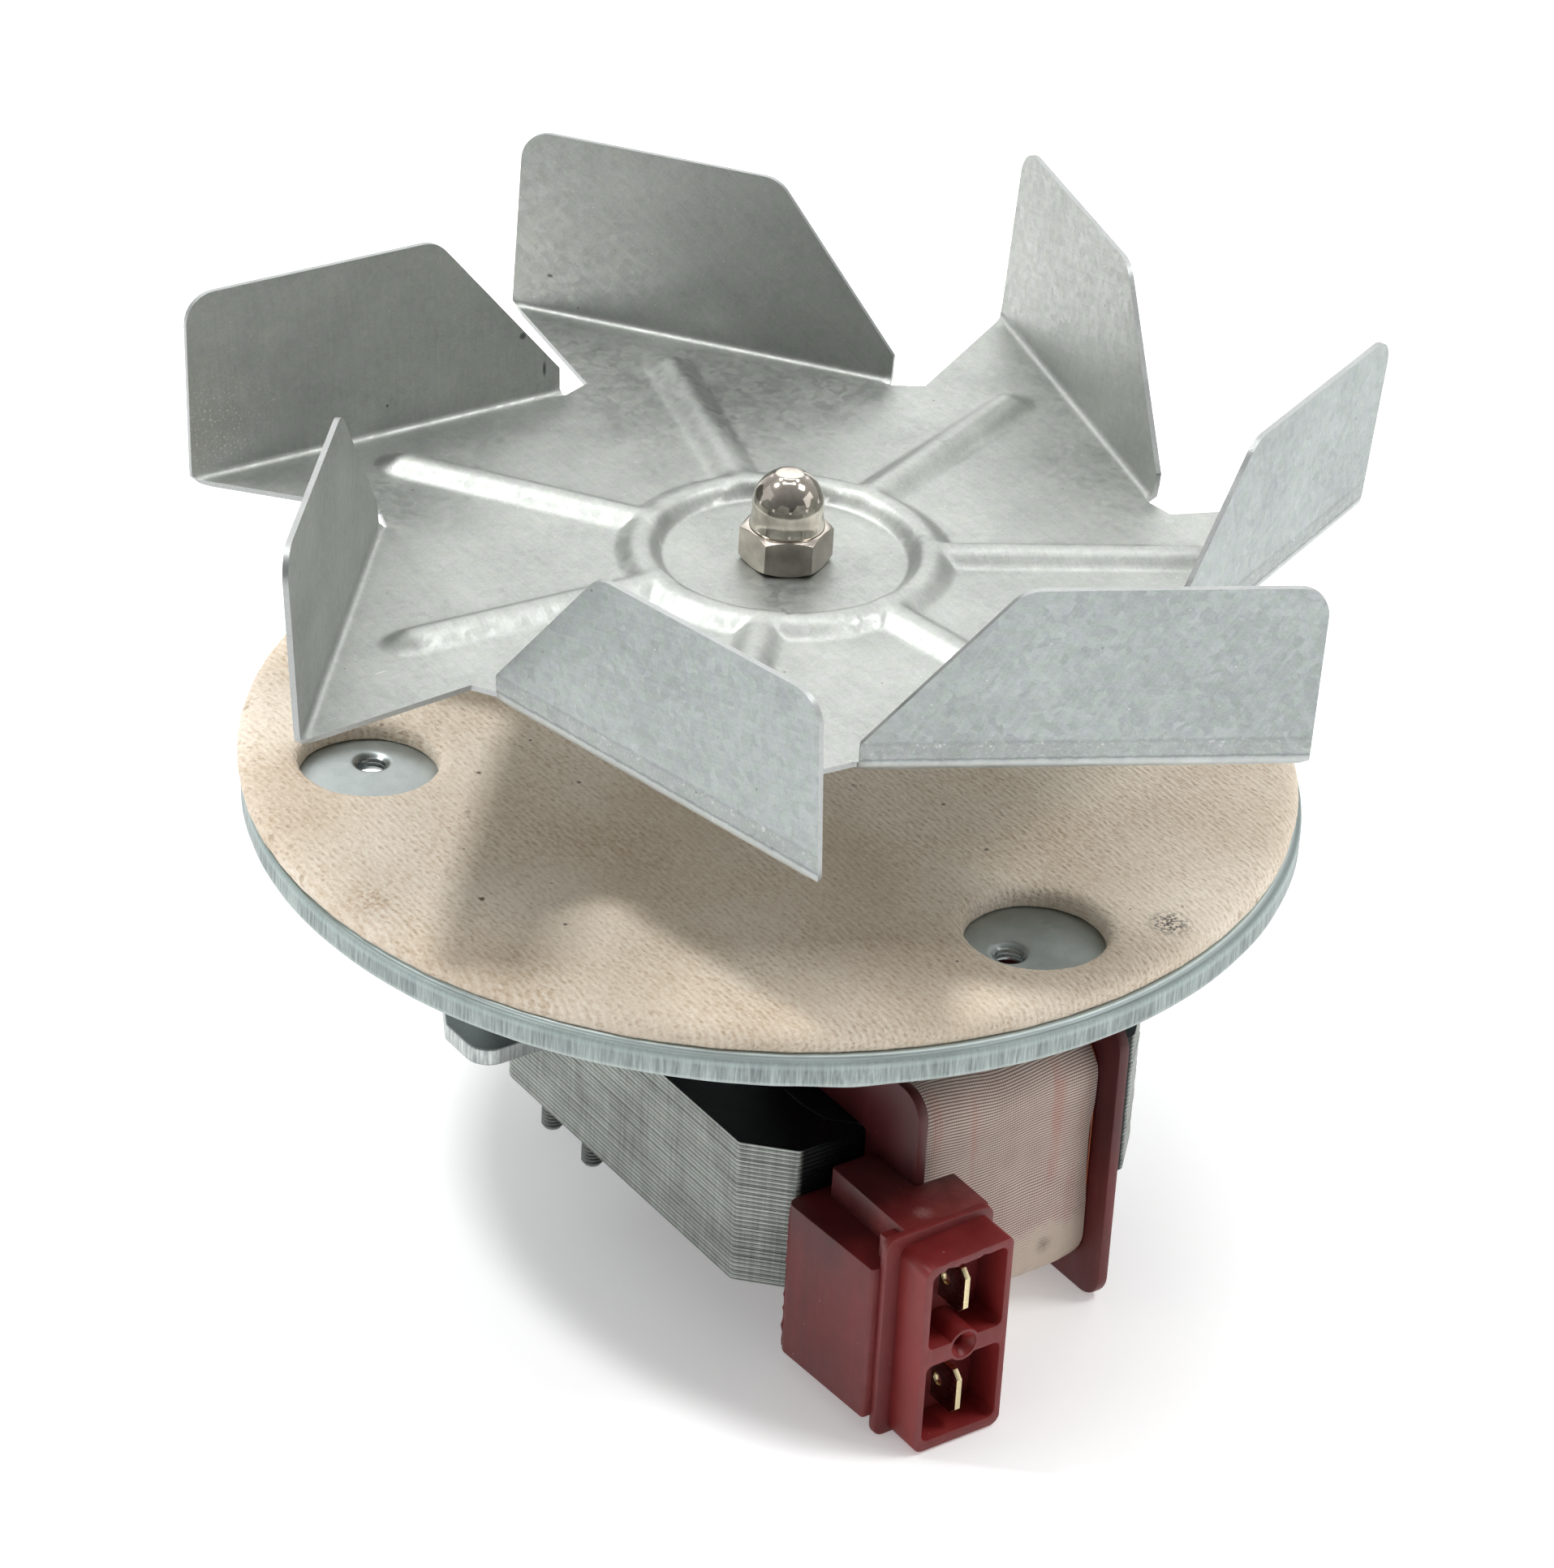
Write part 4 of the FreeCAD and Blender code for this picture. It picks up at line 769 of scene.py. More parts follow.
def make_plate():
    bm = bmesh.new()
    steps = 360

    def wave(angle, level):
        dent = math.exp(-((math.degrees(angle) + 116) / 3.2) ** 2) * smoothstep(-1.6, -3.4, level)
        return 0.05 * noise.noise(Vector((angle * 9, level * 0.3, 0))) + 0.3 * dent

    profile = [(58.0, 0.0), (65.0, 0.0), (65.25, -0.05), (65.4, -0.22), (65.5, -0.38), (65.68, -0.42), (65.9, -0.5),
               (66.1, -0.75), (66.18, -1.05), (66.2, -1.5), (66.2, -2.6), (66.2, -3.45), (66.12, -3.68),
               (65.95, -3.79), (65.4, -3.8),
               (65.25, -3.6), (65.2, -1.6), (64.9, -1.15), (64.3, -1.0), (58.0, -1.0)]
    rings = []
    for radius, level in profile:
        ring = []
        for k in range(steps):
            angle = 2 * math.pi * k / steps - math.pi
            push = wave(angle, level) if radius > 65.6 else 0.0
            drop = 0.05 * noise.noise(Vector((angle * 14, 3, 0))) if level < -3.4 else 0.0
            ring.append(bm.verts.new(at(radius + push, angle) + (max(-3.8, level + drop),)))
        rings.append(ring)
    for one, two in zip(rings, rings[1:]):
        bridged(bm, two, one)
    tops = [rings[0]]
    unders = [rings[-1]]
    mouth = [(2.75, 0.0), (2.5, -0.03), (2.28, -0.12), (2.12, -0.28)]
    for turn in range(3):
        mouth += [(1.74, -0.52 - 0.6 * turn), (1.74, -0.58 - 0.6 * turn), (2.04, -0.84 - 0.6 * turn),
                  (2.04, -0.9 - 0.6 * turn)]
    mouth += [(2.1, -2.3), (2.75, -2.3), (2.9, -2.15), (2.9, -1.2), (3.1, -1.0)]
    for angle in BOSSES:
        loops = lathe(bm, [(r, max(z, -3.0)) for r, z in mouth], 48, 0.0, at(50, angle))
        tops.append(loops[0])
        unders.append(loops[-1])
    bore = [(11.3, 0.0), (11.05, -0.1), (11.0, -0.3), (11.0, -0.8), (11.2, -1.0)]
    loops = lathe(bm, bore, 64)
    tops.append(loops[0])
    unders.append(loops[-1])
    filled_disc(bm, tops, lambda x, y: 0.0, 5.0)
    filled_disc(bm, unders, lambda x, y: -1.0, 5.0, True)
    bmesh.ops.recalc_face_normals(bm, faces=bm.faces[:])
    mesh = mesh_from("mounting_plate", bm, MM, 55)
    return new_piece("round_plate", mesh, zinc_plate(), "motor", "mounting_plate")


# Zinc-coated pressing: cool grey with fine spangle, cloudier on the flat; on the rim the forming die has
# drawn it into close upright scores, brighter along the lower edge where the coating is rubbed.
def zinc_plate():
    finish = Finish("zinc_pressing")
    cloud = finish.noise(9, 3, 0.6)
    grain = finish.noise(0.3, 3, 0.65)
    spangle = finish.cells(1.6, output="Color")
    patch = finish.add("ShaderNodeSeparateXYZ", {"Vector": spangle}).outputs[0]
    x, y, z = (finish.axis(k) for k in range(3))
    radius = finish.math("SQRT", finish.math("ADD", finish.math("MULTIPLY", x, x), finish.math("MULTIPLY", y, y)))
    rim = finish.spread(radius, 0.0655, 0.0660)
    scores = finish.noise(0.32, 3, 0.65, finish.stretched(1, 1, 0.07))
    wide = finish.noise(2.6, 3, 0.6, finish.stretched(1, 1, 0.12))
    low = finish.spread(z, -0.0038, -0.0031, 1, 0)
    tone = finish.math("ADD", finish.spread(cloud, 0.3, 0.7, 0.1, 0.6), finish.spread(patch, 0, 1, 0, 0.16))
    tone = finish.math("ADD", tone, finish.spread(grain, 0.3, 0.7, -0.1, 0.1))
    base = finish.mix(tone, srgb("#9aa1a1"), srgb("#c4cbca"))
    scored = finish.mix(finish.spread(finish.math("ADD", scores, finish.math("MULTIPLY", wide, 0.4)), 0.5, 0.9),
                        srgb("#67706f"), srgb("#a9b4b1"))
    base = finish.mix(finish.math("MULTIPLY", rim, 0.85), base, scored)
    base = finish.mix(finish.math("MULTIPLY", finish.math("MULTIPLY", low, rim), 0.7), base, srgb("#c9d2d0"))
    threads = finish.math("MULTIPLY", finish.spread(z, -0.0004, -0.00015, 1, 0),
                          finish.spread(radius, 0.0625, 0.063, 1, 0))
    base = finish.stain(base, threads, 0.45, "#5b605e")
    height = finish.math("ADD", finish.math("MULTIPLY", grain, 0.15),
                         finish.math("MULTIPLY", finish.math("MULTIPLY", scores, rim), 1.0))
    # Painted highlight: a pale band along the lip by the pad; its roughness is raised too.
    lip_highlight = finish.math("MULTIPLY", finish.spread(radius, 0.0640, 0.0648), finish.spread(z, -0.0016, -0.0011))
    base = finish.stain(base, lip_highlight, 0.5, "#c6d4d2")
    # Painted shade: a dark line between the lip and the rim wall, for the groove there.
    step = finish.math("MULTIPLY", finish.spread(radius, 0.0653, 0.0656), finish.spread(radius, 0.0658, 0.0661, 1, 0))
    base = finish.stain(base, step, 0.6, "#5c6866")
    satin = finish.math("ADD", finish.spread(cloud, 0.3, 0.7, 0.38, 0.5), finish.math("MULTIPLY", rim, 0.1))
    satin = finish.math("ADD", satin, finish.math("MULTIPLY", lip_highlight, 0.14))
    satin = finish.math("SUBTRACT", satin, finish.math("MULTIPLY", threads, 0.2))
    finish.set(Base_Color=base, Metallic=1.0, Roughness=satin,
               Normal=finish.bump(height, 0.05, 0.7, finish.bump(cloud, 0.12, 0.3)))
    return finish.material


# Laminated core
def stacked(name, outline, material, body, replaces, holes=(), sheets=33, edge=0.05, jitter=0.05):
    """A stack of punched sheets with their rolled edges, each a hair out of line with the next."""
    bm = bmesh.new()
    pitch = (STACK_TOP - STACK_LOW) / sheets
    loops_2d = [outline] + list(holes)
    offsets = []
    for loop in loops_2d:
        count = len(loop)
        turn = sum(loop[k][0] * loop[(k + 1) % count][1] - loop[(k + 1) % count][0] * loop[k][1]
                   for k in range(count))
        way = 1 if turn > 0 else -1
        normals = []
        for k in range(count):
            before = Vector(loop[k]) - Vector(loop[k - 1])
            after = Vector(loop[(k + 1) % count]) - Vector(loop[k])
            one = Vector((before.y, -before.x)).normalized() * way
            two = Vector((after.y, -after.x)).normalized() * way
            both = (one + two)
            normals.append(both.normalized() / max(0.35, both.normalized().dot(one)) if both.length > 1e-6 else one)
        sign = 1 if loop is outline else -1
        offsets.append([n * sign for n in normals])
    first = last = None
    for index in range(sheets):
        low = STACK_LOW + index * pitch
        shift = Vector((random.uniform(-jitter, jitter), random.uniform(-jitter, jitter)))
        if index in (0, sheets - 1):
            shift = Vector((0, 0))
        levels = ((low, -edge), (low + 0.1 * pitch, 0), (low + 0.86 * pitch, 0), (low + 0.99 * pitch, -edge))
        for which, loop in enumerate(loops_2d):
            rings = []
            for level, inset in levels:
                ring = []
                for point, normal in zip(loop, offsets[which]):
                    place = Vector(point) + normal * inset + shift * (1 if which == 0 else 0.3)
                    ring.append(bm.verts.new((place.x, place.y, level)))
                rings.append(ring)
            for one, two in zip(rings, rings[1:]):
                bridged(bm, one, two)
            if index == 0:
                first = (first or []) + [rings[0]]
            if index == sheets - 1:
                last = (last or []) + [rings[-1]]
    for loops, flip in ((first, True), (last, False)):
        outer = [(v.co.x, v.co.y) for v in loops[0]]
        inner = [[(v.co.x, v.co.y) for v in loop] for loop in loops[1:]]
        _, faces = triangulated(outer, [], inner)
        known = [v for loop in loops for v in loop]
        for face in faces:
            corners = [known[k] for k in face if k < len(known)]
            if len(corners) == 3:
                bm.faces.new(corners[::-1] if flip else corners)
    bmesh.ops.recalc_face_normals(bm, faces=bm.faces[:])
    mesh = mesh_from(name, bm, MM, 25)
    return new_piece(name, mesh, material, body, replaces)


# Edges of punched electrical sheet: fine level lines at the sheet pitch, upright punch scores, grey-green
# steel that is paler where its dark skin is rubbed. The flat faces, the top edges over the middle and the pole ends
# by the coil are painted near black: painted shade, for the shade under the plate.
def punched_stack():
    finish = Finish("punched_laminations")
    z = finish.axis(2)
    normal = finish.add("ShaderNodeNewGeometry").outputs["Normal"]
    facing = finish.add("ShaderNodeSeparateXYZ", {"Vector": normal})
    # Painted shade: the top edges over the middle, where the leg joins, go dark with the flat faces.
    seam_shade = finish.math("MULTIPLY", finish.spread(z, STACK_TOP * MM - 0.0002, STACK_TOP * MM - 0.0001),
                       finish.spread(finish.math("ABSOLUTE", finish.axis(0)), 0.0225, 0.0235, 1, 0))
    flat = finish.math("MAXIMUM", finish.spread(finish.math("ABSOLUTE", facing.outputs[2]), 0.75, 0.9), seam_shade)
    # Painted shade: the pole ends by the coil, in the shade under the plate, are painted near black.
    window = finish.math("MULTIPLY", finish.spread(finish.math("ABSOLUTE", finish.axis(0)), 0.0246, 0.0250, 1, 0),
                         finish.spread(finish.axis(1), -0.0440, -0.0430, 1, 0))
    sheet = finish.math("FRACT", finish.math("DIVIDE", finish.math("ADD", z, 0.1), 0.000612))
    gap = finish.spread(finish.math("ABSOLUTE", finish.math("SUBTRACT", sheet, 0.5)), 0.30, 0.48)
    scores = finish.noise(0.5, 3, 0.65, finish.stretched(1, 1, 0.05))
    each = finish.noise(0.6, 2, 0.5, finish.stretched(0.02, 0.02, 1.0))
    cloud = finish.noise(7, 3, 0.6)
    tone = finish.math("ADD", finish.spread(scores, 0.3, 0.7, 0.0, 0.4), finish.spread(each, 0.3, 0.7, 0.05, 0.3))
    tone = finish.math("ADD", tone, finish.spread(cloud, 0.3, 0.7, -0.1, 0.3))
    base = finish.mix(tone, srgb("#70746f"), srgb("#bec3bd"))
    base = finish.stain(base, gap, 0.8, "#353b3c")
    base = finish.stain(base, window, 0.93, "#15191a")
    # Painted shade: near-black blue-grey on the flat faces, for the shade under the plate.
    flat_face_shade = finish.mix(cloud, srgb("#0f1316"), srgb("#22292d"))
    base = finish.mix(flat, base, flat_face_shade)
    finish.set(Base_Color=base, Metallic=0.85,
               Roughness=finish.math("ADD", finish.spread(flat, 0, 1, 0.42, 0.3), finish.math("MULTIPLY", gap, 0.2)),
               Normal=finish.bump(finish.math("ADD", scores, finish.math("MULTIPLY", gap, -1.2)), 0.05, 0.6))
    return finish.material


def arc_points(radius, start, end, steps, centre=(0, 0)):
    return [at(radius, math.radians(start + (end - start) * k / steps), centre) for k in range(steps + 1)]


def make_core():
    right = [(19.4, -32.8), (19.4, -36.9), (18.6, -40.8), (16.9, -42.5), (15.8, -43.4), (15.5, -44.9, 0.3),
             (25.1, -44.9, 1.0), (30.45, -39.5, 1.0), (30.45, 11.5, 3.0), (20.0, 23.5, 3.0), (4.0, 23.5), (1.2, 16.8)]
    left = [(-c[0],) + tuple(c[1:]) for c in reversed(right)]
    slot = 1.5
    reach = math.degrees(math.asin(slot / 15.2))
    bore = arc_points(15.2, -90 - reach, -90 + reach - 360, 72)
    corners = rounded(right + left + [(-15.8, -32.8), (-15.8, -19.5, 1.5)], 4)
    outline = [(p.x, p.y) for p in corners] + [(-slot, -19.5)] + bore + [(slot, -19.5)]
    outline += [(p.x, p.y) for p in rounded([(slot, -19.5), (15.8, -19.5, 1.5), (15.8, -32.8)], 4)[1:]]
    holes = [circle(1.75, (x, y), 20) for x in (27.9, -27.9) for y in (4.7, -4.7)]
    holes += [circle(1.1, at(17.4, math.radians(a)), 20) for a in (35, 65, 215, 245)]
    laminated = punched_stack()
    stacked("core_laminations", outline, laminated, "motor", "stator_core", holes)
    leg = [(19.3, -32.9), (19.3, -36.9), (18.5, -40.75), (16.8, -42.4), (15.7, -43.3), (15.4, -44.8)]
    leg = leg + [(-x, y) for x, y in reversed(leg)]
    stacked("leg_laminations", leg, laminated, "motor", "coil_core")


# Cap nut
def make_nut():
    flat = 5.0
    hexagon = 4.8
    bm = bmesh.new()
    columns = []
    steps = 16
    rim = flat - 0.12
    for side in range(6):
        for k in range(steps):
            swing = math.radians(-30 + 60 * k / steps)
            reach = flat / math.cos(swing)
            drop = (reach - rim) * 0.62
            angle = math.radians(29 + 30 + 60 * side) + swing
            column = [(4.6, 0.0), (rim, 0.02), (reach - 0.04, drop - 0.02), (reach, drop + 0.05),
                      (reach, hexagon - drop - 0.05), (reach - 0.04, hexagon - drop + 0.02),
                      (rim, hexagon - 0.02), (4.6, hexagon)]
            columns.append([bm.verts.new(at(r, angle) + (HUB + z,)) for r, z in column])
    for one, two in zip(columns, columns[1:] + columns[:1]):
        bridged_strip(bm, one, two)
    top = 12.1
    dome = 4.4
    profile = [(4.6, hexagon), (4.66, hexagon + 0.12), (4.6, hexagon + 0.45), (4.48, hexagon + 0.95),
               (4.42, hexagon + 1.6), (dome, hexagon + 2.2), (dome, top - dome)]
    profile += [(dome * math.cos(math.radians(a)), top - dome + dome * math.sin(math.radians(a)))
                for a in range(5, 66, 5)]
    profile += [(1.75, top - 0.31), (1.6, top - 0.24), (1.3, top - 0.2), (0.0, top - 0.2)]
    lathe(bm, [(r, z + HUB) for r, z in profile], 96)
    lathe(bm, [(0, HUB + 9.2), (2.95, HUB + 8.6), (2.95, HUB + 0.4), (3.3, HUB), (4.6, HUB)], 96)
    bmesh.ops.remove_doubles(bm, verts=bm.verts[:], dist=0.001)
    bmesh.ops.recalc_face_normals(bm, faces=bm.faces[:])
    mesh = mesh_from("cap_nut", bm, MM, 28)
    return new_piece("domed_nut", mesh, nickel_plate(), "rotor", "cap_nut")


def bridged_strip(bm, one, two):
    for k in range(len(one) - 1):
        bm.faces.new((one[k], two[k], two[k + 1], one[k + 1]))


# Bright nickel plate, slightly warm: near mirror on the dome, fine turning rings, small nicks, and flats of the
# hexagon a little duller from the drawn bar.
def nickel_plate():
    finish = Finish("bright_nickel")
    cloud = finish.noise(2.6, 3, 0.5)
    rings = finish.noise(0.16, 2, 0.6, finish.stretched(0.04, 0.04, 1))
    nicks = finish.spread(finish.cells(1.5), 0.05, 0.1, 1, 0)
    low = finish.spread(finish.axis(2), HUB * MM + 0.0046, HUB * MM + 0.005, 1, 0)
    drawn = finish.noise(0.3, 3, 0.65, finish.stretched(1, 1, 0.15))
    base = finish.mix(finish.spread(cloud, 0.3, 0.7), srgb("#a59d94"), srgb("#cfc7bc"))
    base = finish.stain(base, nicks, 0.35, "#7d776f")
    base = finish.mix(finish.math("MULTIPLY", finish.math("MULTIPLY", low, drawn), 0.4), base, srgb("#948d84"))
    rough = finish.math("ADD", finish.spread(cloud, 0.3, 0.7, 0.07, 0.12), finish.math("MULTIPLY", low, 0.13))
    height = finish.math("ADD", finish.math("MULTIPLY", rings, 0.25), finish.math("MULTIPLY", finish.math(
        "MULTIPLY", low, drawn), 0.6))
    finish.set(Base_Color=base, Metallic=1.0, Roughness=rough, Normal=finish.bump(height, 0.004, 0.35))
    return finish.material


# Motor bracket, posts, screws, bearing brackets
def clean_prism(bm, outline, low, high, plane="XY", holes=(), rim=0.3, steps=2):
    """A plate whose cut edges are softened: outline and holes shrink a little at both faces."""
    turn = {"XY": lambda x, y, z: (x, y, z), "XZ": lambda x, y, z: (x, z, y),
            "YZ": lambda x, y, z: (z, x, y)}[plane]
    loops = [list(outline)] + [list(hole) for hole in holes]
    ends = []
    for which, loop in enumerate(loops):
        count = len(loop)
        area = sum(loop[k][0] * loop[(k + 1) % count][1] - loop[(k + 1) % count][0] * loop[k][1]
                   for k in range(count))
        way = (1 if area > 0 else -1) * (1 if which == 0 else -1)
        normals = []
        for k in range(count):
            one = Vector(loop[k]) - Vector(loop[k - 1])
            two = Vector(loop[(k + 1) % count]) - Vector(loop[k])
            one = Vector((one.y, -one.x)).normalized() * way
            two = Vector((two.y, -two.x)).normalized() * way
            both = (one + two).normalized() if (one + two).length > 1e-6 else one
            normals.append(both / max(0.4, both.dot(one)))
        rings = []
        levels = [(low + rim * (1 - math.cos(a)), -rim * (1 - math.sin(a)))
                  for a in [math.pi / 2 * k / steps for k in range(steps + 1)]]
        levels += [(high - (level - low), inset) for level, inset in reversed(levels)]
        for level, inset in levels:
            rings.append([bm.verts.new(turn(p[0] + n.x * inset, p[1] + n.y * inset, level))
                          for p, n in zip(loop, normals)])
        for one, two in zip(rings, rings[1:]):
            bridged(bm, one, two)
        shrunk = [(p[0] - n.x * rim, p[1] - n.y * rim) for p, n in zip(loop, normals)]
        ends.append((shrunk, rings[0], rings[-1]))
    _, faces = triangulated(ends[0][0], [], [end[0] for end in ends[1:]])
    for which in (1, 2):
        known = [v for end in ends for v in end[which]]
        for face in faces:
            if max(face) < len(known):
                corners = [known[k] for k in face]
                bm.faces.new(corners if which == 2 else corners[::-1])


def pairs(points):
    return [(p[0], p[1]) for p in points]


def make_bracket():
    bm = bmesh.new()
    right = [(49.4, -11.3, 3.2), (49.4, -3.3, 1.5), (41.5, 11.5, 8.0), (24.0, 28.0, 6.0)]
    corners = right + [(-c[0],) + c[1:] for c in reversed(right)]
    corners += [(-19.6, -11.3, 0.6), (-19.6, 0.0)]
    outline = pairs(rounded(corners, 6))
    outline += arc_points(19.6, 180, 0, 40)[1:-1]
    outline += pairs(rounded([(19.6, 0.0), (19.6, -11.3, 0.6), (49.4, -11.3)], 6)[:-1])
    holes = [circle(2.02, place, 24) for place in ((-41, -3.6), (41, -3.6), (0, 23.4))]
    holes += [circle(1.75, (x, y), 24) for x in (27.9, -27.9) for y in (4.7, -4.7)]
    clean_prism(bm, outline, STACK_TOP, STACK_TOP + 2.5, "XY", holes, 0.35, 3)
    bmesh.ops.recalc_face_normals(bm, faces=bm.faces[:])
    mesh = mesh_from("motor_bracket", bm, MM, 40)
    new_piece("stamped_bracket", mesh, stamped_zinc(), "motor", "motor_bracket")


# Thick stamped steel, zinc coated: dull mid grey on the faces, the sheared edge brighter with upright
# tearing.
def stamped_zinc():
    finish = Finish("stamped_zinc")
    cloud = finish.noise(8, 3, 0.6)
    grain = finish.noise(0.35, 3, 0.65)
    tear = finish.noise(0.4, 3, 0.65, finish.stretched(1, 1, 0.1))
    up = finish.add("ShaderNodeSeparateXYZ", {
        "Vector": finish.add("ShaderNodeNewGeometry").outputs["Normal"]}).outputs[2]
    side = finish.spread(finish.math("ABSOLUTE", up), 0.25, 0.75, 1, 0)
    tone = finish.math("ADD", finish.spread(cloud, 0.3, 0.7, 0, 0.7), finish.spread(grain, 0.3, 0.7, 0, 0.3))
    base = finish.mix(tone, srgb("#868c8c"), srgb("#b4baba"))
    edge = finish.mix(finish.spread(tear, 0.3, 0.7), srgb("#8b9190"), srgb("#ced4d2"))
    base = finish.mix(side, base, edge)
    height = finish.math("ADD", finish.math("MULTIPLY", grain, 0.2), finish.math("MULTIPLY", tear, side))
    finish.set(Base_Color=base, Metallic=1.0, Roughness=finish.spread(cloud, 0.3, 0.7, 0.38, 0.52),
               Normal=finish.bump(height, 0.04, 0.6))
    return finish.material


def make_posts():
    bm = bmesh.new()
    for x, y in ((-41, -3.6), (41, -3.6), (0, 23.4)):
        lathe(bm, [(0, -23.1), (1.7, -23.1), (2.0, -22.8), (2.0, -20.6), (3.0, -20.6), (3.2, -20.4), (3.2, -1.2),
                   (3.0, -1.0), (2.0, -1.0), (2.0, -0.2), (1.75, 0.0), (0, 0.0)], 48, 0.0, (x, y))
    mesh = mesh_from("posts", bm, MM, 35)
    new_piece("riveted_posts", mesh, turned_steel("turned_posts", "#b9bdbd"), "motor", "spacer_posts")


# Turned steel: fine rings round each axis, a soft cloud of tarnish.
def turned_steel(name, color, rough=0.32, ring=0.12):
    finish = Finish(name)
    cloud = finish.noise(3.5, 3, 0.6)
    rings = finish.noise(ring, 2, 0.6, finish.stretched(0.05, 0.05, 1))
    dark = tuple(0.6 * c for c in srgb(color)[:3]) + (1.0,)
    base = finish.mix(finish.spread(finish.math("ADD", cloud, rings), 0.7, 1.25), dark, srgb(color))
    finish.set(Base_Color=base, Metallic=1.0, Roughness=finish.spread(cloud, 0.3, 0.7, rough - 0.06, rough + 0.1),
               Normal=finish.bump(rings, 0.01, 0.5))
    return finish.material


def make_screws():
    bm = bmesh.new()
    head = STACK_TOP + 3.5
    for index, (x, y) in enumerate(((27.9, 4.7), (-27.9, 4.7), (-27.9, -4.7), (27.9, -4.7))):
        tip = -48.1
        profile = [(0, tip), (0.7, tip + 0.02), (1.1, tip + 0.18), (1.32, tip + 0.5)]
        level = tip + 0.7
        while level < STACK_LOW + 1.5:
            profile += [(1.45, level), (1.45, level + 0.08), (1.22, level + 0.27), (1.22, level + 0.33)]
            level += 0.5
        profile += [(1.45, level), (1.45, head), (2.7, head), (2.8, head + 0.2), (2.8, head + 1.0),
                    (2.6, head + 1.6), (2.2, head + 1.95), (1.6, head + 2.1), (0.55, head + 2.1),
                    (0.5, head + 1.1), (0, head + 1.1)]
        lathe(bm, profile, 32, 0.0, (x, y))
        # cross recess: four flat dark quads laid just over the head, painted shadow for the sunk recess
        for quarter in range(4):
            angle = math.radians(25 + 70 * index + 90 * quarter)
            ahead = Vector((math.cos(angle), math.sin(angle), 0))
            aside = Vector((-ahead.y, ahead.x, 0)) * 0.28
            middle = Vector((x, y, head + 2.115))
            quad = [middle + ahead * 0.5 + aside, middle + ahead * 0.5 - aside, middle + ahead * 1.5 - aside * 0.5,
                    middle + ahead * 1.5 + aside * 0.5]
            bm.faces.new([bm.verts.new(p) for p in quad][::-1]).material_index = 1
    mesh = mesh_from("screws", bm, MM, 40)
    dark = plain_metal("recess_shadow", "#2c2c2c", 0.6)
    new_piece("machine_screws", mesh, [turned_steel("zinc_screws", "#8f9390", 0.36, 0.1), dark], "motor",
              "bracket_screws")


def make_bearing_brackets():
    zinc = stamped_zinc()
    for name, foot, deck, cup_end, way in (("upper_bearing_bracket", -20.6, -12.8, -4.6, 1),
                                           ("lower_bearing_bracket", STACK_LOW, -47.3, FLOOR, -1)):
        bm = bmesh.new()
        reach = 31.0 if way > 0 else 29.5
        lean = 0.4 * abs(deck - foot)
        inner = 23.6
        path = [(reach, foot), (inner, foot, 0.4), (inner - lean, deck, 0.4)]
        outer = [(reach, foot + way), (inner + 0.7, foot + way, 1.4), (inner - lean + 0.7, deck + way, 1.4)]
        corners = path + [(-c[0],) + c[1:] for c in reversed(path)]
        corners += [(-c[0],) + c[1:] for c in outer] + list(reversed(outer))
        outline = pairs(rounded(corners, 5))
        clean_prism(bm, outline, -8.0, 8.0, "XZ", (), 0.12, 2)
        wall = 7.4
        rim = deck + way * 0.9
        dip = cup_end - way * 1.0
        # round cup drawn from the strip
        if way > 0:
            profile = [(8.6, rim + 0.12), (7.9, rim + 0.3), (wall, rim + 0.9), (wall, cup_end - 0.9),
                       (wall - 0.25, cup_end - 0.25), (wall - 0.9, cup_end), (4.4, cup_end), (4.2, cup_end - 0.2),
                       (4.2, dip), (6.4, dip), (6.4, deck - 0.02), (7.2, deck - 0.05)]
        else:
            profile = [(8.6, rim - 0.12), (7.9, rim - 0.3), (wall, rim - 0.9), (wall, cup_end + 0.9),
                       (wall - 0.25, cup_end + 0.25), (wall - 0.9, cup_end), (1.2, cup_end), (1.0, cup_end + 0.15),
                       (0, cup_end + 0.16)]
        lathe(bm, profile, 72)
        if way < 0:
            lathe(bm, [(0, dip), (6.4, dip), (6.4, deck + 0.02), (7.2, deck + 0.05)], 72)
        bmesh.ops.recalc_face_normals(bm, faces=bm.faces[:])
        mesh = mesh_from(name, bm, MM, 35)
        new_piece(name + "_pressing", mesh, zinc, "motor", name)


# Coil, bobbin and terminals
def box_outline(left, right, low, high, radius, steps=6):
    return pairs(rounded([(left, low, radius), (right, low, radius), (right, high, radius),
                          (left, high, radius)], steps))


def stepped(points, run):
    """The same closed outline with more points along its straight sides."""
    result = []
    for one, two in zip(points, points[1:] + points[:1]):
        pieces = max(1, int(math.hypot(two[0] - one[0], two[1] - one[1]) / run))
        result += [(one[0] + (two[0] - one[0]) * k / pieces, one[1] + (two[1] - one[1]) * k / pieces)
                   for k in range(pieces)]
    return result


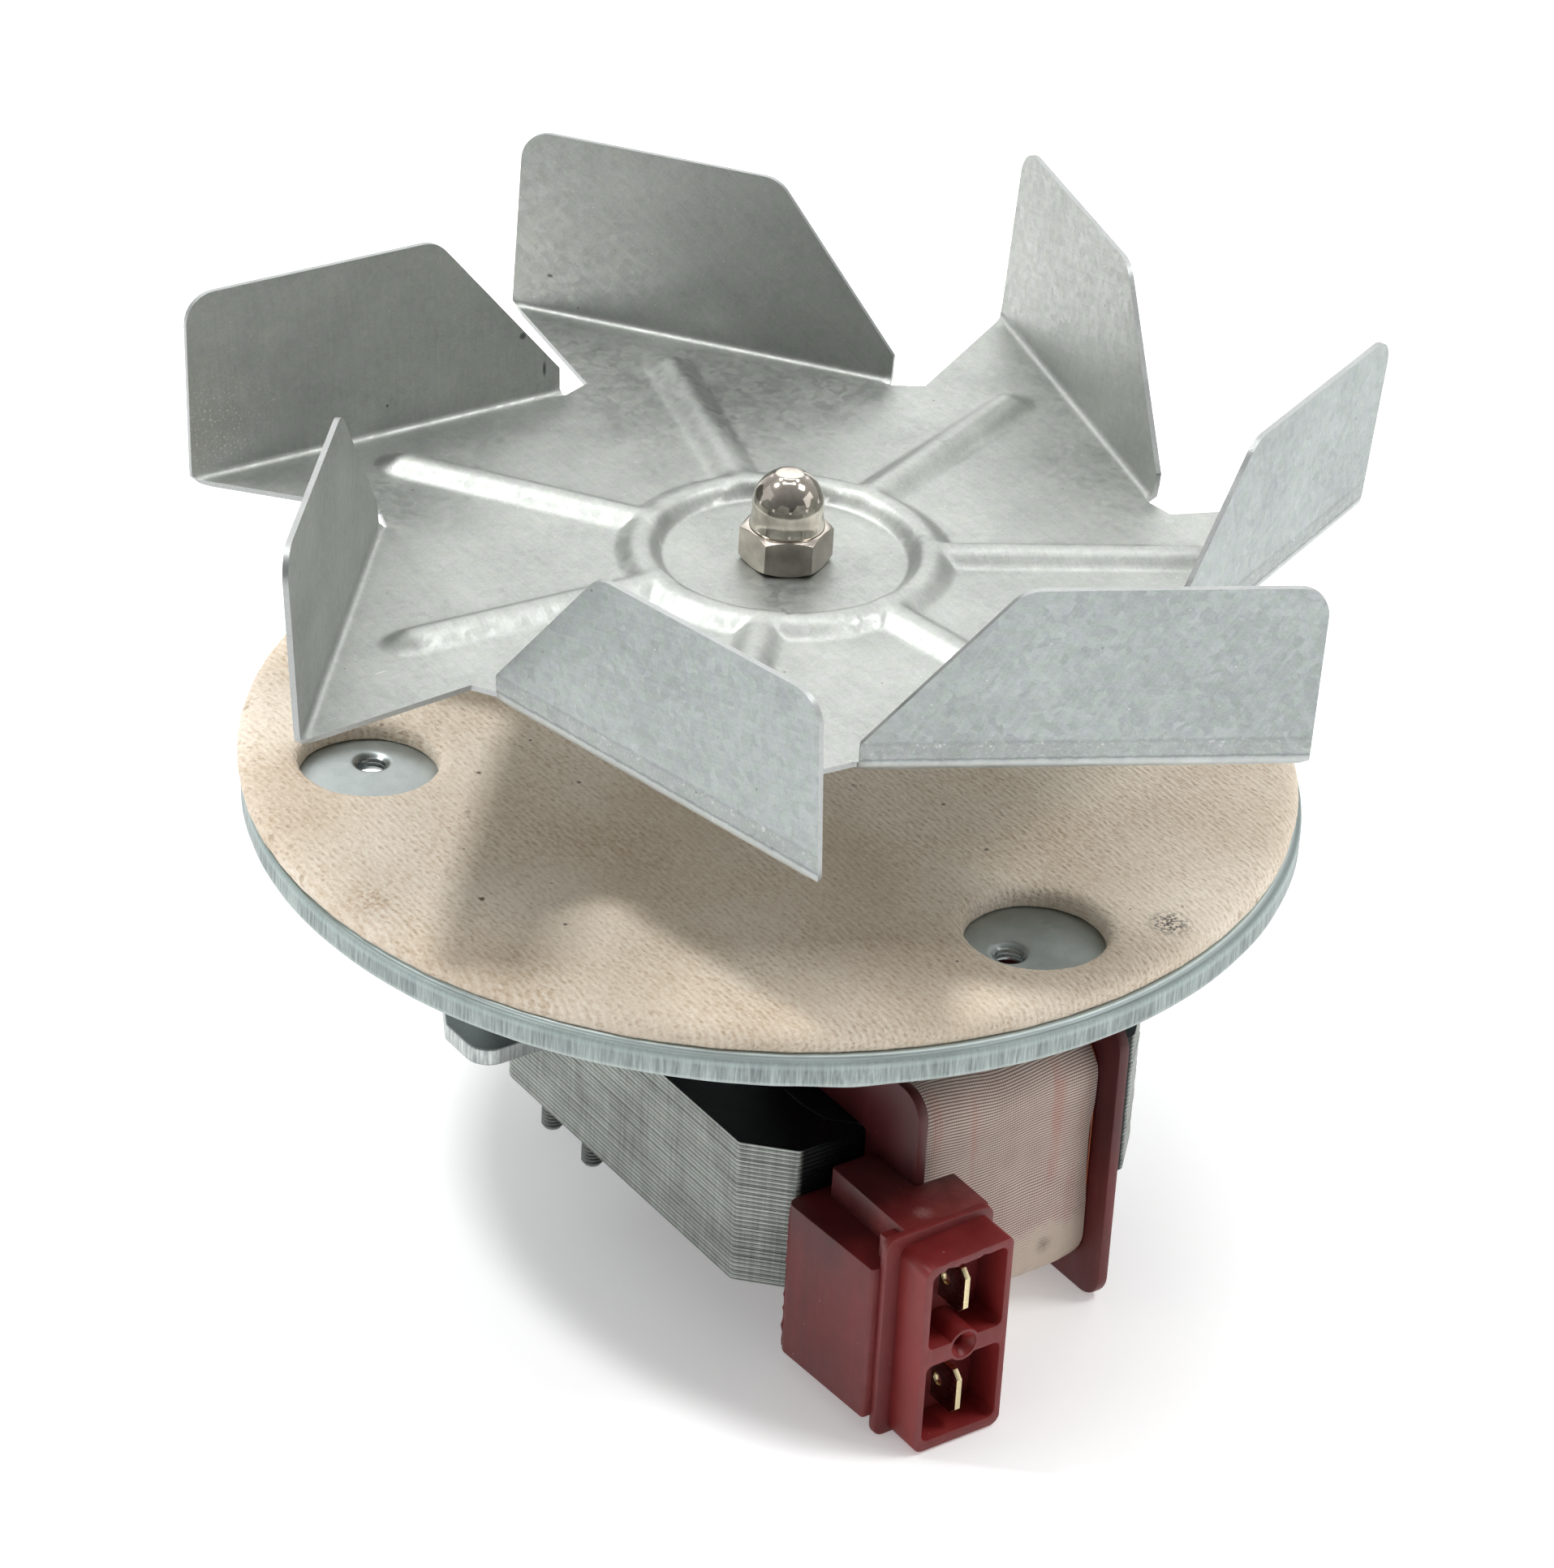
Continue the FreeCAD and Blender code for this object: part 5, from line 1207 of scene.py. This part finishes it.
def make_bobbin():
    bm = bmesh.new()
    flange = box_outline(-55.3, -22.3, -53.5, -13.1, 3.5, 8)
    window = box_outline(-44.9, -32.8, -43.4, -23.0, 0.4, 2)
    for low, high in ((-15.7, -14.2), (14.2, 15.7)):
        clean_prism(bm, flange, low, high, "YZ", [window], 0.22, 2)
    tube = box_outline(-46.0, -31.7, -44.5, -21.9, 1.0, 3)
    clean_prism(bm, tube, -14.3, 14.3, "YZ", [window], 0.05, 1)
    rear = pairs(rounded([(-27.4, -45.5, 1.5), (-15.6, -45.5), (-15.6, -62.5), (-26.6, -62.5, 0.5)], 6))
    clean_prism(bm, rear, -50.8, -29.0, "XY", (), 0.25, 2)
    shoulder = pairs(rounded([(-24.2, -60.2, 0.3), (-21.0, -60.2), (-21.0, -62.5), (-24.2, -62.5)], 3))
    clean_prism(bm, shoulder, -50.8, -25.8, "XY", (), 0.2, 2)
    front = pairs(rounded([(-21.9, -55.4), (-10.0, -55.4, 0.5), (-10.0, -62.5), (-21.9, -62.5)], 3))
    clean_prism(bm, front, -50.8, -26.0, "XY", (), 0.1, 2)
    slab = pairs(rounded([(-22.1, -47.1, 0.5), (-15.6, -47.1), (-15.6, -55.4), (-10.0, -55.4, 0.5), (-10.0, -62.5),
                          (-22.1, -62.5)], 3))
    clean_prism(bm, slab, -30.0, -24.95, "XY", (), 0.3, 2)
    step = box_outline(-25.5, -9.9, -53.4, -24.7, 1.4, 5)
    clean_prism(bm, step, -63.6, -62.4, "XZ", (), 0.22, 2)
    shell = pairs(rounded([(-23.5, -53.2, 1.4), (-10.8, -53.2, 1.4), (-10.8, -25.7, 0.8), (-23.5, -26.3, 1.4)], 6))
    upper = pairs(rounded([(-22.4, -38.2, 0.9), (-22.4, -27.4, 1.0), (-11.7, -26.8, 0.8), (-11.7, -38.2, 0.9)], 4))
    upper += [at(2.2, math.radians(a), (-17.1, -39.2)) for a in (27, 50, 70, 90, 110, 130, 153)]
    lower = pairs(rounded([(-11.7, -40.7, 0.9), (-11.7, -51.8, 1.0), (-22.4, -51.8, 1.0), (-22.4, -40.7, 0.9)], 4))
    lower += [at(2.2, math.radians(a), (-17.1, -39.2)) for a in (223, 240, 255, 270, 285, 300, 317)]
    hole = circle(1.75, (-17.1, -39.2), 28)
    shell = stepped(shell, 0.7)
    upper = stepped(upper, 0.6)
    clean_prism(bm, shell, -69.0, -62.5, "XZ", [upper, lower, hole], 0.14, 2)
    rings = []
    for radius, depth in ((1.74, -68.85), (0.85, -67.7), (0.8, -67.5), (0.8, -63.0), (0.02, -62.9)):
        rings.append([bm.verts.new((x, depth, z)) for x, z in circle(radius, (-17.1, -39.2), 28)])
    for one, two in zip(rings, rings[1:]):
        bridged(bm, one, two)
    # Flash left along the parting line of the rear block.
    strip = []
    for k in range(41):
        level = -50.2 + 20.4 * k / 40
        tear = max(0.0, noise.noise(Vector((level * 0.9, 2.2, 0))) + 0.55 * noise.noise(Vector((level * 2.7, 5, 0))))
        reach = 0.03 + 0.42 * tear
        tip = (-27.1 - 0.81 * reach, -46.1 + 0.59 * reach, level)
        strip.append([bm.verts.new(p) for p in ((-27.08, -46.3, level), tip, (-26.95, -45.95, level))])
    for one, two in zip(strip, strip[1:]):
        bridged_strip(bm, one, two)
    bmesh.ops.recalc_face_normals(bm, faces=bm.faces[:])
    for vert in bm.verts:
        x, y, z = vert.co
        if y < -68.6 and z > -28.2 and -22.6 < x < -12.0:
            chip = max(0.0, noise.noise(Vector((x * 1.3, 1.1, 0))) + 0.5 * noise.noise(Vector((x * 3.1, 4, 0))))
            vert.co.y += 0.7 * chip
            vert.co.z += 0.25 * chip if z < -26.9 else -0.2 * chip
    mesh = mesh_from("bobbin", bm, MM, 35)
    new_piece("moulded_bobbin", mesh, red_moulding(), "motor", "coil_bobbin")


# Glass-filled dark red moulding: satin skin over dark red, with fine fibre streaks, a browner bloom on the upright
# walls, pale rubbed arrises, scattered pale nicks and the ejector's mark on the slab.
def red_moulding():
    finish = Finish("red_thermoset")
    flow = finish.noise(5.5, 3, 0.6, finish.stretched(1, 1, 0.5))
    fibre = finish.noise(0.22, 3, 0.7, finish.stretched(1, 0.35, 1))
    bands = finish.noise(1.6, 2, 0.5, finish.stretched(1, 1, 0.05))
    geometry_node = finish.add("ShaderNodeNewGeometry")
    rubbed = finish.math("MULTIPLY", finish.spread(geometry_node.outputs["Pointiness"], 0.53, 0.62),
                         finish.spread(finish.noise(2.2, 3, 0.6), 0.4, 0.62, 0.35, 1))
    up = finish.add("ShaderNodeSeparateXYZ", {"Vector": geometry_node.outputs["Normal"]}).outputs[2]
    wall = finish.spread(finish.math("ABSOLUTE", up), 0.3, 0.7, 1, 0)
    tone = finish.math("ADD", finish.spread(flow, 0.3, 0.7, 0, 0.7), finish.spread(fibre, 0.3, 0.7, 0, 0.3))
    base = finish.mix(tone, srgb("#560f12"), srgb("#6d181b"))
    # Painted light: the front of the moulding, toward the tabs, is a lighter red than the parts further back under
    # the plate.
    ahead = finish.spread(finish.axis(1), -0.0560, -0.0670)
    base = finish.mix(finish.math("MULTIPLY", ahead, 0.85), base, finish.mix(tone, srgb("#7a1c1d"), srgb("#942826")))
    sideways = finish.add("ShaderNodeSeparateXYZ", {"Vector": geometry_node.outputs["Normal"]}).outputs[0]
    flank = finish.math("MULTIPLY", finish.spread(finish.axis(1), -0.0634, -0.0640),
                        finish.spread(finish.math("ABSOLUTE", sideways), 0.4, 0.7))
    wall = finish.math("MULTIPLY", wall, finish.spread(flank, 0, 1, 1, 0.3))
    bloom = finish.mix(finish.spread(finish.math("ADD", bands, flow), 0.8, 1.2), srgb("#5a2123"), srgb("#6c2c2d"))
    base = finish.mix(finish.math("MULTIPLY", wall, 0.6), base, bloom)
    base = finish.stain(base, rubbed, 0.4, "#a0544f")
    nick = finish.math("MULTIPLY", finish.spread(finish.cells(2.3), 0.035, 0.075, 1, 0),
                       finish.spread(finish.noise(5, 3, 0.7), 0.54, 0.62))
    base = finish.stain(base, nick, 0.6, "#b98a80")
    mark = finish.add("ShaderNodeVectorMath", {0: finish.place, 1: (-0.01803, -0.0604, -0.02495)},
                      operation="DISTANCE").outputs["Value"]
    smudge = finish.math("MULTIPLY", finish.spread(mark, 0.0004, 0.0015, 1, 0),
                         finish.spread(fibre, 0.35, 0.6, 0.3, 1))
    base = finish.stain(base, smudge, 0.6, "#b98680")
    # Painted shade: the upper back of the moulding, under the plate, is darkened toward near black.
    plate_shade = finish.math("MULTIPLY", finish.spread(finish.axis(2), -0.036, -0.026),
                       finish.spread(finish.axis(1), -0.0575, -0.055))
    base = finish.stain(base, plate_shade, 0.55, "#2a0a0c")
    finish.set(Base_Color=base, Roughness=finish.spread(flow, 0.3, 0.7, 0.36, 0.5),
               Normal=finish.bump(finish.math("ADD", flow, fibre), 0.02, 0.5))
    finish.shader.inputs["Specular IOR Level"].default_value = 0.42
    return finish.material


def make_coil():
    bm = bmesh.new()
    layer = bm.loops.layers.uv.new("wrap")
    count = 44
    middle = -33.2
    rows = []
    base = box_outline(-52.4, -25.2, middle - 17.5, middle + 17.5, 5.5, 10)
    perimeter = [0.0]
    dense = []
    for k in range(len(base)):
        a, b = Vector(base[k]), Vector(base[(k + 1) % len(base)])
        pieces = max(1, int((b - a).length / 0.9))
        dense += [a.lerp(b, j / pieces) for j in range(pieces)]
    for k in range(len(dense)):
        perimeter.append(perimeter[-1] + (dense[(k + 1) % len(dense)] - dense[k]).length)
    centre = Vector((-38.8, middle))
    for index in range(count + 1):
        along = -14.05 + 28.1 * index / count
        belly = 1 - (abs(along) / 14.05) ** 6
        row = []
        for k, point in enumerate(dense):
            out = point - centre
            slack = 0.28 * noise.noise(Vector((point.x * 0.12, point.y * 0.12, along * 0.10)))
            ridge = 0.10 * noise.noise(Vector((point.x * 0.05, point.y * 0.05, along * 0.9)))
            scale = 1 - (0.9 * (1 - belly) + 0.25 - slack * 0.6 - ridge) / out.length * 0.8
            place = centre + out * min(1.0, scale)
            row.append(bm.verts.new((along, place.x, place.y)))
        rows.append(row)
    for index in range(count):
        one, two = rows[index], rows[index + 1]
        for k in range(len(dense)):
            after = (k + 1) % len(dense)
            face = bm.faces.new((one[k], two[k], two[after], one[after]))
            spots = ((index, perimeter[k]), (index + 1, perimeter[k]), (index + 1, perimeter[k + 1]),
                     (index, perimeter[k + 1]))
            for loop, (i, run) in zip(face.loops, spots):
                loop[layer].uv = (28.1 * i / count * MM, run * MM)
    lap = bm.verts.layers.float.new("lap")
    for vert in bm.verts:
        x, y, z = vert.co
        vert[lap] = 1 - smoothstep(-44.6, -37.6, z - 0.1 * (x - 4.0)) if y < -45 else 0.0
    bmesh.ops.recalc_face_normals(bm, faces=bm.faces[:])
    mesh = mesh_from("coil_wrap", bm, MM, 60)
    new_piece("glass_tape_wrap", mesh, glass_tape(), "motor", "coil_tape")


# Woven glass tape over the winding: level yarns 0.4 mm apart with dark gaps, crossed by fainter upright ones, in
# pinkish grey; wire colour shows in a few upright streaks, the weave blurs to smooth cream where the lap is
# varnished low on the front, and there is one dark blot.
def glass_tape():
    finish = Finish("glass_tape_weave", "UV")
    drift = finish.add("ShaderNodeVectorMath", {0: finish.place, 1: finish.add("ShaderNodeVectorMath", {
        0: finish.add("ShaderNodeTexNoise", {"Vector": finish.place, "Scale": 1 / (16 * MM),
                                             "Detail": 1.0}).outputs["Color"],
        1: (0.0, 0.004, 0.0)}, operation="MULTIPLY").outputs[0]}, operation="ADD").outputs[0]
    level = finish.waves(0.40, "Y", 0.0, drift)
    upright = finish.waves(0.34, "X", 0.0, drift)
    patchy = finish.spread(finish.noise(6, 3, 0.6), 0.4, 0.65)
    lap = finish.add("ShaderNodeAttribute", attribute_name="lap").outputs["Fac"]
    ripple = finish.spread(finish.noise(2.5, 3, 0.6), 0.3, 0.7, -0.25, 0.25)
    blur = finish.spread(finish.math("ADD", lap, ripple), 0.4, 0.95)
    sharp = finish.math("SUBTRACT", 1.0, finish.math("MULTIPLY", blur, 0.92))
    gap = finish.math("MULTIPLY", finish.spread(level, 0.2, 0.62, 1, 0), sharp)
    cross = finish.math("MULTIPLY", finish.math("MULTIPLY", finish.spread(upright, 0.1, 0.6, 1, 0), sharp),
                        finish.spread(patchy, 0, 1, 0.35, 0.8))
    streak = finish.noise(2.6, 3, 0.6, finish.stretched(1.0, 0.09, 1))
    red = finish.math("MULTIPLY", finish.spread(streak, 0.56, 0.7), finish.spread(blur, 0, 1, 1, 0.2))
    yarn = finish.mix(finish.noise(5, 3, 0.6), srgb("#cdb7ab"), srgb("#e6d6ca"))
    yarn = finish.mix(blur, yarn, srgb("#c6b6a6"))
    yarn = finish.mix(finish.math("MULTIPLY", red, 0.28), yarn, srgb("#bd8272"))
    under = finish.mix(red, srgb("#6f5954"), srgb("#85534a"))
    base = finish.mix(finish.math("MULTIPLY", cross, 0.45), yarn, under)
    base = finish.mix(finish.math("MULTIPLY", gap, 0.85), base, under)
    spot = finish.add("ShaderNodeVectorMath", {0: finish.add("ShaderNodeTexCoord").outputs["Object"],
                                               1: (0.0074, -0.0522, -0.0440)}, operation="DISTANCE").outputs["Value"]
    blot = finish.math("MULTIPLY", finish.spread(spot, 0.0001, 0.0015, 1, 0),
                       finish.spread(finish.noise(0.7, 3, 0.6), 0.3, 0.5, 0.3, 1))
    base = finish.stain(base, blot, 0.6, "#5f5243")
    hills = finish.math("ADD", finish.math("MULTIPLY", level, 0.7), finish.math("MULTIPLY", upright, 0.4))
    finish.set(Base_Color=base, Roughness=finish.spread(blur, 0, 1, 0.75, 0.5),
               Normal=finish.bump(finish.math("MULTIPLY", hills, sharp), 0.05, 0.6))
    finish.shader.inputs["Specular IOR Level"].default_value = 0.3
    return finish.material


def make_tabs():
    metal = terminal_brass()
    dark = blade_flat()
    for name, level in (("terminal_tab_upper", -32.0), ("terminal_tab_lower", -46.9)):
        bm = bmesh.new()
        half = 3.15
        outline = [(-55.6, level - half), (-55.6, level + half), (-67.6, level + half), (-68.6, level + half - 1.0),
                   (-68.6, level - half + 1.0), (-67.6, level - half)]
        hole = circle(0.8, (-64.8, level), 20)
        clean_prism(bm, outline, -17.4, -16.6, "YZ", [hole], 0.12, 2)
        bmesh.ops.recalc_face_normals(bm, faces=bm.faces[:])
        for face in bm.faces:
            if abs(face.normal.x) > 0.9:
                face.material_index = 1
        mesh = mesh_from(name, bm, MM, 40)
        new_piece(name.replace("terminal_tab", "blade"), mesh, [metal, dark], "motor", name)


# Sheared brass edge of the blade: warm and bright, with cross scores from the cut.
def terminal_brass():
    finish = Finish("sheared_brass")
    score = finish.noise(0.2, 3, 0.6, finish.stretched(0.2, 1, 1))
    base = finish.mix(score, srgb("#bba874"), srgb("#efe4c2"))
    finish.set(Base_Color=base, Metallic=1.0, Roughness=0.3, Normal=finish.bump(score, 0.008, 0.5))
    return finish.material


# Flat of the blade: tinned, dulled, with rolling lines along the blade.
def blade_flat():
    finish = Finish("tinned_flat")
    line = finish.noise(0.25, 3, 0.6, finish.stretched(1, 0.08, 1))
    base = finish.mix(line, srgb("#6d6b66"), srgb("#a19e96"))
    finish.set(Base_Color=base, Metallic=1.0, Roughness=finish.spread(line, 0.3, 0.7, 0.16, 0.3),
               Normal=finish.bump(line, 0.005, 0.5))
    return finish.material


# Ground shaft steel: bright, with hair-fine rings round the axis and a faint straw bloom.
def ground_steel():
    finish = Finish("ground_shaft")
    rings = finish.noise(0.09, 2, 0.6, finish.stretched(0.03, 0.03, 1))
    bloom = finish.noise(5, 3, 0.6)
    base = finish.mix(finish.spread(rings, 0.3, 0.7), srgb("#a3a5a4"), srgb("#cdcfcd"))
    base = finish.mix(finish.spread(bloom, 0.5, 0.75, 0, 0.35), base, srgb("#b3a68e"))
    finish.set(Base_Color=base, Metallic=1.0, Roughness=finish.spread(bloom, 0.3, 0.7, 0.18, 0.28),
               Normal=finish.bump(rings, 0.004, 0.4))
    return finish.material


# Turned rotor surface: sheets 0.5 mm thick smeared together by the tool, blue-grey with pale aluminium bars
# running slantwise.
def rotor_laminations():
    finish = Finish("rotor_laminations")
    x, y, z = (finish.axis(k) for k in range(3))
    lines = finish.waves(0.5, "Z", 0.3)
    angle = finish.math("ARCTAN2", y, x)
    skewed = finish.math("ADD", angle, finish.math("MULTIPLY", z, 13.0))
    bar = finish.math("SINE", finish.math("MULTIPLY", skewed, 17.0))
    smear = finish.noise(1.4, 3, 0.6, finish.stretched(0.2, 0.2, 1))
    base = finish.mix(finish.spread(finish.math("ADD", lines, smear), 0.6, 1.5), srgb("#4d5356"), srgb("#7f868a"))
    base = finish.mix(finish.spread(bar, 0.72, 0.82, 0, 0.8), base, srgb("#b6babb"))
    finish.set(Base_Color=base, Metallic=0.95, Roughness=finish.spread(smear, 0.3, 0.7, 0.35, 0.5),
               Normal=finish.bump(lines, 0.02, 0.5))
    return finish.material


# Pressure-cast aluminium end rings: pale, faintly pebbled skin with flow swirls and a few pores.
def cast_aluminium():
    finish = Finish("cast_aluminium")
    swirl = finish.noise(3, 3, 0.6, warp=1.2)
    skin = finish.noise(0.35, 3, 0.6)
    pores = finish.spread(finish.cells(1.7), 0.05, 0.1, 1, 0)
    base = finish.mix(finish.spread(swirl, 0.3, 0.7), srgb("#9da1a2"), srgb("#c6cacb"))
    base = finish.stain(base, pores, 0.6, "#5f6465")
    height = finish.math("SUBTRACT", finish.math("ADD", skin, swirl), finish.math("MULTIPLY", pores, 1.5))
    finish.set(Base_Color=base, Metallic=1.0, Roughness=0.45, Normal=finish.bump(height, 0.03, 0.6))
    return finish.material


# Bare copper bar: brown oxide in soft clouds over salmon metal, brighter draw lines.
def bare_copper():
    finish = Finish("bare_copper_bar")
    cloud = finish.noise(3.2, 3, 0.6)
    lines = finish.noise(0.2, 2, 0.6, finish.stretched(1, 1, 0.1))
    base = finish.mix(finish.spread(cloud, 0.35, 0.65), srgb("#8d4f35"), srgb("#c47c58"))
    finish.set(Base_Color=finish.mix(finish.spread(lines, 0.4, 0.7, 0, 0.3), base, srgb("#dba483")), Metallic=1.0,
               Roughness=finish.spread(cloud, 0.3, 0.7, 0.3, 0.42), Normal=finish.bump(lines, 0.01, 0.5))
    return finish.material


# Enamelled copper wire in level layers 0.32 mm apart: glossy, red-brown, dark between the turns.
def enamelled_wire():
    finish = Finish("enamelled_wire")
    turns = finish.waves(0.32, "X", 0.4)
    shade = finish.noise(4, 3, 0.6)
    base = finish.mix(finish.spread(turns, 0.1, 0.8), srgb("#4a1f12"), srgb("#b5613d"))
    base = finish.mix(finish.spread(shade, 0.4, 0.7, 0, 0.4), base, srgb("#8f452a"))
    finish.set(Base_Color=base, Metallic=0.6, Roughness=0.28, Normal=finish.bump(turns, 0.12, 0.8))
    return finish.material


# Oiled wool felt: grey-brown, matted fibres, darker where the oil has wept.
def oil_felt():
    finish = Finish("oiled_wool_felt")
    fibres = finish.noise(0.35, 5, 0.75, warp=1.5)
    wet = finish.noise(3, 3, 0.6)
    base = finish.mix(finish.spread(fibres, 0.3, 0.7), srgb("#6b5f4c"), srgb("#b3a68d"))
    base = finish.mix(finish.spread(wet, 0.45, 0.65, 0, 0.6), base, srgb("#473c2a"))
    finish.set(Base_Color=base, Roughness=finish.spread(wet, 0.4, 0.7, 0.95, 0.7),
               Normal=finish.bump(fibres, 0.2, 0.9))
    finish.shader.inputs["Sheen Weight"].default_value = 0.2
    return finish.material


# Sintered bronze bush: brassy brown, grainy, with dark oil-filled pores.
def sintered_bronze():
    finish = Finish("sintered_bronze")
    grain = finish.cells(0.28)
    pores = finish.spread(finish.cells(0.5), 0.12, 0.2, 1, 0)
    cloud = finish.noise(3, 3, 0.6)
    base = finish.mix(finish.spread(finish.math("ADD", grain, cloud), 0.5, 1.2), srgb("#6e5330"), srgb("#a98452"))
    base = finish.stain(base, pores, 0.7, "#2f2414")
    finish.set(Base_Color=base, Metallic=0.9, Roughness=0.42,
               Normal=finish.bump(finish.math("SUBTRACT", grain, pores), 0.02, 0.6))
    return finish.material


# Hardened spring sheet of the bearing retainers: blue-black temper colour with brown edges of colour.
def spring_steel():
    finish = Finish("blued_spring_steel")
    tint = finish.noise(2.4, 3, 0.6)
    grain = finish.noise(0.3, 3, 0.6)
    base = finish.mix(finish.spread(tint, 0.35, 0.65), srgb("#323b4a"), srgb("#5c5148"))
    base = finish.mix(finish.spread(grain, 0.4, 0.7, 0, 0.25), base, srgb("#868c94"))
    finish.set(Base_Color=base, Metallic=1.0, Roughness=finish.spread(tint, 0.3, 0.7, 0.28, 0.4),
               Normal=finish.bump(grain, 0.008, 0.5))
    return finish.material


# Laminated fibre washers: tan, faintly woven, polished by the turning faces.
def washer_fibre():
    finish = Finish("washer_fibre")
    weave = finish.math("MAXIMUM", finish.waves(0.5, "X", 0.5), finish.waves(0.5, "Y", 0.5))
    cloud = finish.noise(2.5, 3, 0.6)
    base = finish.mix(finish.spread(finish.math("ADD", weave, cloud), 0.6, 1.5), srgb("#7d5a34"), srgb("#b58a58"))
    finish.set(Base_Color=base, Roughness=finish.spread(cloud, 0.3, 0.7, 0.35, 0.55),
               Normal=finish.bump(weave, 0.01, 0.5))
    return finish.material


make_stage()
make_wheel()
make_pad()
make_plate()
make_core()
make_nut()
make_bracket()
make_posts()
make_screws()
make_bearing_brackets()
make_bobbin()
make_coil()
make_tabs()

looks = {"motor_shaft": ground_steel(), "wheel_seat": turned_steel("zinc_seat", "#b4b8b6", 0.34),
         "rotor_core": rotor_laminations(), "rotor_cage": cast_aluminium(), "shading_rings": bare_copper(),
         "coil_winding": enamelled_wire(), "upper_oil_felt": oil_felt(), "upper_bearing": sintered_bronze(),
         "upper_retainer": spring_steel(), "upper_sleeve": turned_steel("spacer_sleeve", "#a9adab", 0.3),
         "thrust_washers": washer_fibre()}
for part in ("oil_felt", "bearing", "retainer", "sleeve"):
    looks["lower_" + part] = looks["upper_" + part]
for name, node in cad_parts.items():
    if name in looks:
        node.data.materials.clear()
        node.data.materials.append(looks[name])
